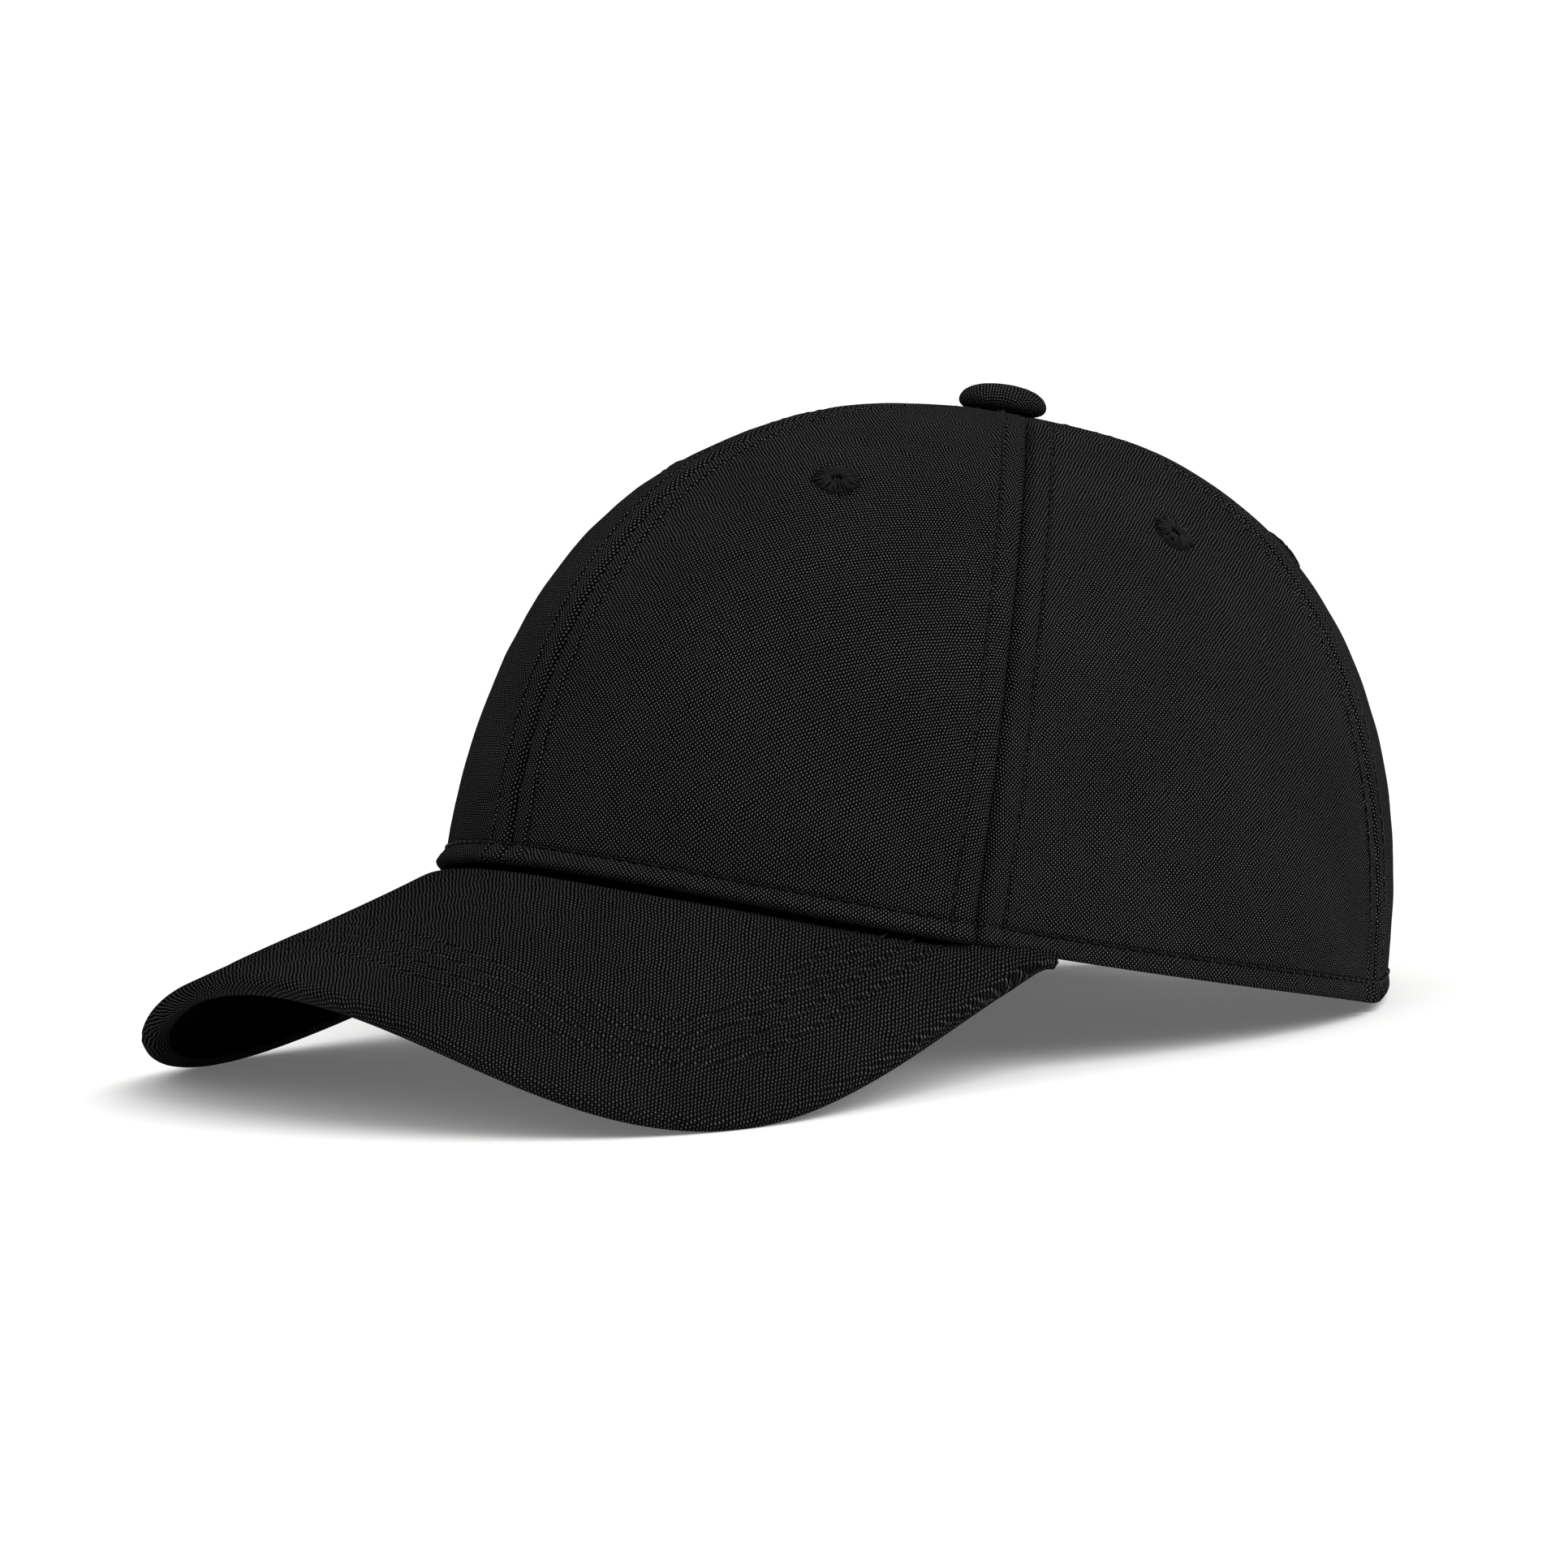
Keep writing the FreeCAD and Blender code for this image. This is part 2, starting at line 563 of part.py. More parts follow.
def strap_closure():
    """Returns the two straps and the flip-clasp buckle: frame, hinge pin and lever."""
    half = STRAP_THICKNESS / 2
    rest = -1.4 - half
    over = rest + 1.0
    long_path = [(STRAP_RIGHT_END, rest), (-50, rest), (-34, rest), (-20, rest), (-8, rest), (1.0, rest),
                 (4.5, rest + 0.12), (8.0, over), (12.5, over), (16.5, rest + 0.3), (20.0, rest), (24, rest),
                 (STRAP_LEFT_END, rest)]
    bar_top, bar_bottom = -FRAME_LAYER[0] + 0.1 + half, -FRAME_LAYER[1] - 0.1 - half
    turn = BAR_SLOT[1] - 0.1 - half
    low = bar_bottom + STRAP_THICKNESS + 0.15
    loop_path = [(STRAP_LEFT_END, bar_bottom), (24, bar_bottom), (16, bar_bottom), (11.5, bar_bottom),
                 (10.1, bar_bottom), (turn, bar_bottom + 0.75), (turn, bar_top - 0.75), (10.1, bar_top),
                 (11.8, bar_top), (15.5, (bar_top + low) / 2), (19.0, low), (24, low), (STRAP_LEFT_END, low)]
    place = buckle_frame_at()
    plate = grid_solid(*[[[on_strap(u, v, -depth) for v in spread(-FRAME_HALF_WIDTH, FRAME_HALF_WIDTH, 5)]
                          for u in spread(FRAME_FRONT, FRAME_REAR, 9)] for depth in FRAME_LAYER])
    for slot, width in ((BAR_SLOT, SLOT_HALF_WIDTH), (LIGHTENING_SLOT, LIGHTENING_HALF_WIDTH)):
        plate = plate.cut(local_box(slot, (-width, width), (-8, 2), place))
    for sign in (-1, 1):
        reach = sorted((sign * CHEEK_INNER, sign * CHEEK_OUTER))
        plate = plate.fuse(local_box(CHEEK, reach, (-FRAME_LAYER[1] + 0.3, PIN_W + BARREL_RADIUS), place))
    plate = plate.cut(local_rod(PIN_BORE, FRAME_HALF_WIDTH + 1, place))
    pin = local_rod(PIN_RADIUS, CHEEK_OUTER + 0.1, place)
    for head in ((CHEEK_OUTER + 0.08, CHEEK_OUTER + 0.6), (-CHEEK_OUTER - 0.6, -CHEEK_OUTER - 0.08)):
        pin = pin.fuse(local_rod(PIN_HEAD_RADIUS, head[1], place, head[0]))
    flap_low = PIN_W - LEVER_THICKNESS / 2
    flap = local_box((LEVER_TIP, PIN_U), (-LEVER_HALF_WIDTH, LEVER_HALF_WIDTH),
                     (flap_low, flap_low + LEVER_THICKNESS), place)
    lip = local_box((LEVER_TIP, LEVER_TIP + LEVER_THICKNESS), (-LEVER_HALF_WIDTH, LEVER_HALF_WIDTH),
                    (flap_low, flap_low + LEVER_THICKNESS + LEVER_LIP), place)
    lever = flap.fuse(lip).fuse(local_rod(BARREL_RADIUS, LEVER_HALF_WIDTH, place))
    lever = lever.cut(local_rod(PIN_BORE, FRAME_HALF_WIDTH, place))
    return {"adjuster_strap": ribbon(long_path, STRAP_WIDTH / 2),
            "buckle_loop_strap": ribbon(loop_path, STRAP_WIDTH / 2),
            "buckle_frame": plate, "buckle_pin": pin, "buckle_lever": lever}


# ---- Assembly -----------------------------------------------------------------------------
def main():
    """Builds every piece, tips the cap into its resting pose and writes the files."""
    os.makedirs("parts", exist_ok=True)
    pieces = {}
    for build in (crown_panels, front_buckram, inner_trim, eyelets, button, visor_pieces, strap_closure):
        pieces.update(build())
    rest = FreeCAD.Placement(V(0, REST_SHIFT_Y, REST_LIFT), FreeCAD.Rotation(V(1, 0, 0), -REST_PITCH))
    box = FreeCAD.BoundBox()
    for name, shape in pieces.items():
        shape.Placement = rest.multiply(shape.Placement)
        shape.exportStep("parts/" + name + ".step")
        box.add(shape.optimalBoundingBox(True, False))
        print(f"{name:26s} solids {len(shape.Solids)} valid {shape.isValid()} volume {shape.Volume:10.1f}")
    print("box", box)
    hinge = rest.multiply(buckle_frame_at())
    print("hinge at", hinge.multVec(V(PIN_U, 0, PIN_W)), "axis", hinge.Rotation.multVec(V(0, 1, 0)))


main()
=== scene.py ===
"""A black six-panel baseball cap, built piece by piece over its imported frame.

Shapes are worked out in millimetres in the cap's own upright frame (hem ring near z = 0, front
towards -Y, the wearer's left towards +X) and then tipped into the pose in which the cap rests.
"""
import logging
from dataclasses import dataclass
from enum import Enum
from math import cos, pi, radians, sin

import bmesh
import bpy
import numpy as np
from mathutils import Matrix, Vector


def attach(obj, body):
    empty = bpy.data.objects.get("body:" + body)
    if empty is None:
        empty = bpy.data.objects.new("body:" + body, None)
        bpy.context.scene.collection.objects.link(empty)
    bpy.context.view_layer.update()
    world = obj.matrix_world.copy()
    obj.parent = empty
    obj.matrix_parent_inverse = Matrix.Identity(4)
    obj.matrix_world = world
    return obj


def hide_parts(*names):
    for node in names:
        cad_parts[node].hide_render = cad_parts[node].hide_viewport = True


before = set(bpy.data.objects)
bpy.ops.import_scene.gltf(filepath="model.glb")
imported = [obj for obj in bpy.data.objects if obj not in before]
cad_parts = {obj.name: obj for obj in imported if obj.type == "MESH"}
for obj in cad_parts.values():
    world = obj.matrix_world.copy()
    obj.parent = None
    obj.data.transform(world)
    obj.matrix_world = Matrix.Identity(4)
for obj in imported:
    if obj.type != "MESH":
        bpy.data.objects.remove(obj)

LOG = logging.getLogger("cap")
MM = 0.001
Array = np.ndarray
CLOTH_ATTRIBUTE = "cloth"       # where each point of a cloth lies on its flat piece, in mm
FRONT_SIDE_SEAM, REAR_SIDE_SEAM = 65.3, 130.2   # degrees from the front
EYELET_PLACES = {"front": (31.0, 50.2), "side": (97.7, 53.1), "rear": (155.1, 53.1)}   # phi, psi


# ---- Small helpers ------------------------------------------------------------------------
def linear(hex_colour: str) -> tuple[float, float, float, float]:
    """Turns an sRGB hex colour into linear RGBA.

    Args:
        hex_colour: Six hex digits with a leading hash.

    Returns:
        Linear red, green, blue and an alpha of one.
    """
    values = [int(hex_colour[i:i + 2], 16) / 255 for i in (1, 3, 5)]
    scene_values = [v / 12.92 if v <= 0.04045 else ((v + 0.055) / 1.055) ** 2.4 for v in values]
    return (*scene_values, 1.0)


def smooth_step(low: float, high: float, x: Array) -> Array:
    """Rises smoothly from 0 at low to 1 at high.

    Args:
        low: Where the rise starts.
        high: Where it ends.
        x: Values to look up.

    Returns:
        The eased share at each value.
    """
    t = np.clip((x - low) / (high - low), 0.0, 1.0)
    return t * t * (3 - 2 * t)


def dip(x: Array, centre: float, width: float) -> Array:
    """Returns a bell of height one around a centre."""
    return np.exp(-((x - centre) / width) ** 2)


def unit(vectors: Array) -> Array:
    """Returns the vectors at length one."""
    return vectors / np.maximum(np.linalg.norm(vectors, axis=-1, keepdims=True), 1e-9)


def run_length(points: Array, axis: int) -> Array:
    """Measures the distance run along one axis of a grid of points.

    Args:
        points: Grid of points, its last axis x, y, z.
        axis: Grid axis to walk along.

    Returns:
        The length from the first row or column to each point.
    """
    steps = np.linalg.norm(np.diff(points, axis=axis), axis=-1)
    start = np.zeros_like(np.take(steps, [0], axis=axis))
    return np.concatenate([start, np.cumsum(steps, axis=axis)], axis=axis)


def resample(path: Array, spacing: float) -> Array:
    """Places points along a path at an even spacing.

    Args:
        path: Points of the path, in order.
        spacing: Distance between the new points.

    Returns:
        The new points, from the start of the path to near its end.
    """
    along = run_length(path, 0)
    places = np.arange(0.0, along[-1], spacing)
    return np.stack([np.interp(places, along, path[:, k]) for k in range(path.shape[1])], axis=1)


# ---- Shapes -------------------------------------------------------------------------------
@dataclass(frozen=True)
class RestPose:
    """How the upright cap is tipped and lifted to lie on its visor and rear hem."""

    pitch: float = radians(13.5)
    shift_y: float = 25.99
    lift: float = 18.1

    def to_row(self, points: Array) -> Array:
        """Carries upright millimetre points into the resting frame, in metres."""
        x, y, z = points[..., 0], points[..., 1], points[..., 2]
        c, s = cos(self.pitch), sin(self.pitch)
        return np.stack([x, y * c + z * s + self.shift_y, z * c - y * s + self.lift], axis=-1) * MM


@dataclass(frozen=True)
class CrownShape:
    """The crown's outside face: a superellipse from hem to apex round an egg-shaped hem ring."""

    half_width: float = 84.1
    half_length: float = 106.0
    taper: float = -0.08
    wave_two: float = 1.7
    wave_three: float = 0.5
    rear_lift: float = 3.6
    rear_from: float = radians(131)
    rear_to: float = radians(149)
    height: float = 111.3
    apex_y: float = 11.7
    round_mean: float = 2.19
    round_front: float = -0.03
    round_side: float = 0.20

    def hem_plan(self, phi: Array) -> tuple[Array, Array]:
        """Returns x and y of the hem ring at angles from the front."""
        half_width = self.half_width * (1 + self.taper * np.cos(phi))
        return half_width * np.sin(phi), -self.half_length * np.cos(phi)

    def hem_height(self, phi: Array) -> Array:
        """Returns z of the hem edge."""
        turn = np.abs((phi + pi) % (2 * pi) - pi)
        lift = self.rear_lift * smooth_step(self.rear_from, self.rear_to, turn)
        return self.wave_two * np.cos(2 * phi) + self.wave_three * np.cos(3 * phi) + lift

    def roundness(self, phi: Array) -> Array:
        """Returns the superellipse exponent at angles from the front."""
        return self.round_mean + self.round_front * np.cos(phi) + self.round_side * np.cos(2 * phi)

    def on(self, phi: Array, psi: Array) -> Array:
        """Finds points of the outside face.

        Args:
            phi: Angles from the front, positive towards the wearer's left.
            psi: 0 at the hem and pi/2 at the apex.

        Returns:
            Points, their last axis x, y, z.
        """
        phi, psi = np.broadcast_arrays(np.asarray(phi, float), np.asarray(psi, float))
        power = 2 / self.roundness(phi)
        reach, rise = np.cos(psi) ** power, np.sin(psi) ** power
        x, y = self.hem_plan(phi)
        z = self.hem_height(phi) * (1 - rise) + self.height * rise
        return np.stack([x * reach, self.apex_y + (y - self.apex_y) * reach, z], axis=-1)

    def normal(self, phi: Array, psi: Array) -> Array:
        """Finds the directions square to the outside face.

        Args:
            phi: Angles from the front.
            psi: Heights.

        Returns:
            Outward unit vectors.
        """
        step = radians(0.4)
        low = np.maximum(np.asarray(psi, float) - step, 0.0)
        low = np.minimum(low, pi / 2 - 2 * step)
        up = self.on(phi, low + 2 * step) - self.on(phi, low)
        around = self.on(phi + step, psi) - self.on(phi - step, psi)
        return unit(np.cross(around, up))

    def off(self, phi: Array, psi: Array, out: Array) -> Array:
        """Returns points raised off the outside face, or below it where out is negative."""
        return self.on(phi, psi) + self.normal(phi, psi) * np.asarray(out)[..., None]

    def psi_at(self, phi: Array, height: Array) -> Array:
        """Returns psi at heights above the hem."""
        rise = np.maximum(height, 0.0) / (self.height - self.hem_height(phi))
        return np.arcsin(rise ** (self.roundness(phi) / 2))

    def girth(self, phi: Array, psi: Array) -> Array:
        """Returns millimetres per radian of phi."""
        step = radians(0.2)
        chord = self.on(phi + step, psi) - self.on(phi - step, psi)
        return np.linalg.norm(chord, axis=-1) / (2 * step)

    def flatten(self, phi: Array, psi: Array, grain: float) -> Array:
        """Lays the crown out flat, as cloth cut with its warp up one meridian.

        Args:
            phi: Angles round from the front.
            psi: Heights.
            grain: Angle of the meridian that the warp follows.

        Returns:
            Millimetres across the warp and along it.
        """
        rise = np.linspace(0, radians(89.9), 400)
        line = self.on(np.full(rise.shape, grain), rise)
        beside = self.on(np.full(rise.shape, grain + 0.01), rise)
        foot = np.array([line[-1, 0], line[-1, 1], 0.0])
        heading = unit((line[0] - foot) * [1, 1, 0])
        across = np.array([-heading[1], heading[0], 0.0])
        across = across * np.sign(np.dot(beside[0] - line[0], across))
        slope = np.arctan2(line[:, 2], (line - foot) @ heading)
        length = run_length(line, 0)
        away = self.on(phi, psi) - foot
        turn = np.arctan2(away[..., 2], away @ heading)
        below = np.minimum(turn - slope[0], 0) * np.linalg.norm(line[0] - foot)
        radius = np.linalg.norm(away, axis=-1)
        aside = radius * np.arcsin(away @ across / radius)
        return np.stack([aside, np.interp(turn, slope, length) + below], axis=-1)

    def through(self, x: Array, z: Array) -> tuple[Array, Array]:
        """Finds phi and psi of the back of the crown at given x and z.

        Args:
            x: Distances off the middle plane.
            z: Heights above the hem edge.

        Returns:
            phi and psi of those points.
        """
        phi = np.full(np.shape(x), pi)
        psi = np.zeros(np.shape(x))
        for _ in range(12):
            psi = self.psi_at(phi, z)
            reach = np.cos(psi) ** (2 / self.roundness(phi))
            half_width = self.half_width * (1 + self.taper * np.cos(phi))
            phi = pi - np.arcsin(np.clip(x / (half_width * reach), -1, 1))
        return phi, psi


@dataclass(frozen=True)
class VisorShape:
    """The visor's top face: a sloping board bent to a shallow cone, eased to the hem."""

    crown: CrownShape
    slope: float = float(np.tan(radians(28.4)))
    rise: float = 2.3
    sag: float = 42.1
    sag_flatten: float = -5.3
    sag_span: float = 80.0
    cone: float = 0.162
    cone_span: float = 60.0
    length: float = 56.0
    wing: tuple[float, float] = (90.0, -93.5)
    end_angle: float = radians(74.5)
    end_step: float = 1.8
    handles: tuple[float, float, float, float] = (34.1, 52.1, 21.5, 6.1)
    wing_share: float = 0.6
    fit_band: float = 30.0
    crown_gap: float = 0.15

    def height(self, x: Array, y: Array) -> Array:
        """Finds z of the bent board before it is eased to the hem.

        Args:
            x: Distances off the middle plane.
            y: Places from front to back.

        Returns:
            z at each place.
        """
        u = (x / self.sag_span) ** 2
        ahead = y + self.crown.half_length
        sag = (self.sag * u + self.sag_flatten * u * u) * (1 + self.cone * ahead / self.cone_span)
        return self.rise + self.slope * ahead - sag

    def outline(self, share: Array) -> tuple[Array, Array]:
        """Finds the outer edge in plan.

        Args:
            share: -1 and 1 where the wings meet the hem, 0 at the front.

        Returns:
            x and y of the edge.
        """
        side = np.where(share < 0, -1.0, 1.0)
        share = np.abs(share)
        front = np.array([0.0, -self.crown.half_length - self.length])
        wing = np.array(self.wing)
        x, y = self.crown.hem_plan(self.end_angle)
        end = np.array([x + self.end_step, y - 1.0])
        front_pull, wing_pull, wing_push, end_pull = self.handles
        ahead = [front, front + [front_pull, 0], wing - [0, wing_pull], wing]
        behind = [wing, wing + [0, wing_push], end - [0.15 * end_pull, end_pull], end]
        plan = np.where((share <= self.wing_share)[..., None],
                        self.cubic(ahead, share / self.wing_share),
                        self.cubic(behind, (share - self.wing_share) / (1 - self.wing_share)))
        return plan[..., 0] * side, plan[..., 1]

    @staticmethod
    def cubic(points: list[Array], t: Array) -> Array:
        """Returns points of a cubic curve at t."""
        t = np.clip(t, 0, 1)[..., None]
        return ((1 - t) ** 3 * points[0] + 3 * t * (1 - t) ** 2 * points[1]
                + 3 * t * t * (1 - t) * points[2] + t ** 3 * points[3])

    def on(self, share: Array, across: Array, inset: float = 0.0) -> Array:
        """Finds points of the top face.

        Args:
            share: From wing to wing, -1 to 1.
            across: From the hem, 0, to the outer edge, 1. Less than 0 lies under the crown.
            inset: How far the outer edge is moved in.

        Returns:
            Points, their last axis x, y, z.
        """
        share, across = np.broadcast_arrays(np.asarray(share, float), np.asarray(across, float))
        phi = self.end_angle * share
        x_hem, y_hem = self.crown.hem_plan(phi)
        normal = self.crown.normal(phi, np.zeros_like(phi))
        x_in, y_in = x_hem + normal[..., 0] * self.crown_gap, y_hem + normal[..., 1] * self.crown_gap
        x_out, y_out = self.outline(share)
        length = np.hypot(x_out - x_in, y_out - y_in)
        reach = across * np.maximum(1 - inset / length, 0.1)
        x, y = x_in + (x_out - x_in) * reach, y_in + (y_out - y_in) * reach
        ease = np.maximum(1 - reach * length / self.fit_band, 0.0) ** 2
        misfit = self.crown.hem_height(phi) - self.height(x_in, y_in)
        return np.stack([x, y, self.height(x, y) + misfit * ease], axis=-1)

    def frame_at(self, share: Array, across: Array, inset: float = 0.0) -> tuple[Array, Array]:
        """Finds which way the top face looks.

        Args:
            share: From wing to wing, -1 to 1.
            across: From the hem to the outer edge, 0 to 1.
            inset: How far the outer edge is moved in.

        Returns:
            The face's unit normals, and its directions towards the edge.
        """
        step = 0.004
        high, low = np.minimum(share + step, 1.0), np.maximum(share - step, -1.0)
        outer, inner = np.minimum(across + step, 1.0), np.maximum(across - step, 0.0)
        along = self.on(high, across, inset) - self.on(low, across, inset)
        out = self.on(share, outer, inset) - self.on(share, inner, inset)
        normal = unit(np.cross(out, along))
        return normal, unit(np.cross(along, normal))

    def below(self, share: Array, across: Array, inset: float, depth: Array) -> Array:
        """Finds points below the top face: straight down at the hem, square to it at the edge.

        Args:
            share: From wing to wing, -1 to 1.
            across: From the hem to the outer edge, 0 to 1.
            inset: How far the outer edge is moved in.
            depth: Distance below the face, square to it.

        Returns:
            Points, their last axis x, y, z.
        """
        share, across = np.broadcast_arrays(np.asarray(share, float), np.asarray(across, float))
        normal, _ = self.frame_at(share, across, inset)
        upright = np.array([0.0, 0.0, 1.0])
        mix = np.clip(across, 0, 1)[..., None]
        down = unit(normal * mix + upright * (1 - mix))
        scale = np.asarray(depth) / np.sum(down * normal, axis=-1)
        return self.on(share, across, inset) - down * scale[..., None]


POSE = RestPose()
CROWN = CrownShape()
VISOR = VisorShape(CROWN)


# ---- Meshes -------------------------------------------------------------------------------
def quads(index: Array, turned: bool = False) -> Array:
    """Joins each four neighbours of a grid into a face.

    Args:
        index: The points' numbers, laid out as the grid.
        turned: Whether the faces go round the other way.

    Returns:
        One row of four numbers for each face.
    """
    corners = [index[:-1, :-1], index[1:, :-1], index[1:, 1:], index[:-1, 1:]]
    if turned:
        corners[1], corners[3] = corners[3], corners[1]
    return np.stack(corners, axis=-1).reshape(-1, 4)


def grid_faces(rows: int, columns: int, start: int = 0, flip: bool = False) -> Array:
    """Lists the four-sided faces of a grid of vertices.

    Args:
        rows: Vertices along the first axis.
        columns: Vertices along the second axis.
        start: Index of the first vertex.
        flip: Turns the faces over.

    Returns:
        Vertex indices, four for each face.
    """
    index = np.arange(rows * columns).reshape(rows, columns) + start
    faces = quads(index)
    return faces[:, ::-1] if flip else faces


def rim_faces(rows: int, columns: int) -> Array:
    """Lists the faces that join the borders of two equal grids, the second right after the first.

    Args:
        rows: Vertices along the first axis of each grid.
        columns: Vertices along the second axis.

    Returns:
        Vertex indices, four for each face.
    """
    index = np.arange(rows * columns).reshape(rows, columns)
    loop = np.concatenate([index[:-1, 0], index[-1, :-1], index[:0:-1, -1], index[0, :0:-1]])
    after = np.roll(loop, -1)
    other = rows * columns
    return np.stack([after, loop, loop + other, after + other], axis=-1)


def make_piece(name: str, points: Array, faces: Array, cloth: Array | None = None) -> bpy.types.Object:
    """Makes a smooth mesh object from points in the upright frame.

    Args:
        name: Name of the piece.
        points: Vertices in millimetres.
        faces: Vertex indices of each face.
        cloth: Place of each vertex on its flat cloth, in millimetres.

    Returns:
        The new object, in the resting frame and in metres.
    """
    label = name + "_sewn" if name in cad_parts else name
    mesh = bpy.data.meshes.new(label)
    mesh.from_pydata(POSE.to_row(points).tolist(), [], faces.tolist())
    if cloth is not None:
        layer = mesh.attributes.new(CLOTH_ATTRIBUTE, "FLOAT_VECTOR", "POINT")
        flat = np.zeros((len(points), 3), np.float32)
        flat[:, :2] = cloth
        layer.data.foreach_set("vector", flat.ravel())
    mesh.shade_smooth()
    mesh.validate()
    piece = bpy.data.objects.new(label, mesh)
    bpy.context.scene.collection.objects.link(piece)
    return piece


def make_sheet(name: str, outer: Array, inner: Array, cloth: Array) -> bpy.types.Object:
    """Makes a closed sheet between two equal grids of points.

    Args:
        name: Name of the piece.
        outer: Grid of the face that shows.
        inner: Grid of its back.
        cloth: Place of each grid point on the flat cloth.

    Returns:
        The new object.
    """
    rows, columns = outer.shape[:2]
    points = np.concatenate([outer.reshape(-1, 3), inner.reshape(-1, 3)])
    faces = np.concatenate([grid_faces(rows, columns), grid_faces(rows, columns, rows * columns, True),
                            rim_faces(rows, columns)])
    middle = (rows // 2) * columns + columns // 2
    face = points[[middle, middle + columns, middle + columns + 1]]
    looks = np.cross(face[1] - face[0], face[2] - face[0])
    if np.dot(looks, outer[rows // 2, columns // 2] - inner[rows // 2, columns // 2]) < 0:
        faces = faces[:, ::-1]
    return make_piece(name, points, faces, np.tile(cloth.reshape(-1, 2), (2, 1)))


def finish_piece(piece: bpy.types.Object, material: bpy.types.Material, slot: str, *nodes: str,
                 body: str = "cap") -> bpy.types.Object:
    """Dresses a piece, fixes it to its body and hides the CAD nodes that it replaces.

    Args:
        piece: The object.
        material: Its finish.
        slot: Material slot of the record; not used.
        nodes: CAD nodes that it replaces.
        body: CAD body that it rides on.

    Returns:
        The same object.
    """
    piece.data.materials.clear()
    piece.data.materials.append(material)
    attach(piece, body)
    if nodes:
        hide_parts(*nodes)
    LOG.info("%s: %d faces", piece.name, len(piece.data.polygons))
    return piece


@dataclass(frozen=True)
class Thread:
    """A sewing thread, laid as single stitches that sink into the cloth at both ends."""

    pitch: float = 3.1          # from one needle hole to the next
    gap: float = 0.35           # thread hidden at each needle hole
    radius: float = 0.3
    sides: int = 6
    rings: int = 7

    def lay(self, paths: list[tuple[Array, Array]]) -> tuple[Array, Array]:
        """Builds the stitches along some paths.

        Args:
            paths: For each row of stitches, its points and the cloth's normals there.

        Returns:
            Vertices and faces of all the stitches.
        """
        starts, ends, normals = [], [], []
        for points, out in paths:
            holes = resample(np.concatenate([points, out], axis=1), self.pitch)
            start, end = holes[:-1], holes[1:]
            share = self.gap / 2 / self.pitch
            starts.append(start[:, :3] + (end - start)[:, :3] * share)
            ends.append(end[:, :3] - (end - start)[:, :3] * share)
            normals.append(unit((start + end)[:, 3:]))
        start, end, normal = (np.concatenate(part)[:, None, None] for part in (starts, ends, normals))
        along = unit(end - start)
        side = np.cross(along, normal)
        t = np.linspace(0, 1, self.rings)[None, :, None, None]
        turn = np.linspace(0, 2 * pi, self.sides, endpoint=False)[None, None, :, None]
        arch = np.sin(pi * t) ** 0.5
        centre = start + (end - start) * t + normal * self.radius * (1.2 * arch - 0.75)
        girth = self.radius * (0.35 + 0.65 * arch)
        points = centre + girth * (side * np.cos(turn) + normal * np.sin(turn))
        count = len(start)
        ring = np.arange(self.rings * self.sides).reshape(self.rings, self.sides)
        ring = np.concatenate([ring, ring[:, :1]], axis=1)
        body = quads(ring, turned=True)
        step = (np.arange(count) * self.rings * self.sides)[:, None, None]
        return points.reshape(-1, 3), (body[None] + step).reshape(-1, 4)


def make_stitches(name: str, thread: Thread, paths: list[tuple[Array, Array]]) -> bpy.types.Object:
    """Makes one piece of all the stitches along some paths."""
    points, faces = thread.lay(paths)
    return make_piece(name, points, faces)


# ---- Finishes -----------------------------------------------------------------------------
def add_node(tree: bpy.types.NodeTree, kind: str, inputs: dict | None = None, **settings) -> bpy.types.Node:
    """Adds a shader node.

    Args:
        tree: Node tree.
        kind: Blender's name of the node type.
        inputs: Values or output sockets for its inputs, by name or number.
        settings: Properties of the node.

    Returns:
        The new node.
    """
    node = tree.nodes.new(kind)
    for key, value in settings.items():
        setattr(node, key, value)
    for key, value in (inputs or {}).items():
        if isinstance(value, bpy.types.NodeSocket):
            tree.links.new(value, node.inputs[key])
        else:
            node.inputs[key].default_value = value
    return node


class Weave(Enum):
    """How the two threads of a cloth cross."""

    PLAIN = "plain"             # over one, under one
    RIB = "rib"                 # thick warp that covers the weft: fine cords
    TWILL = "twill"             # over two, under two, one thread further on each row


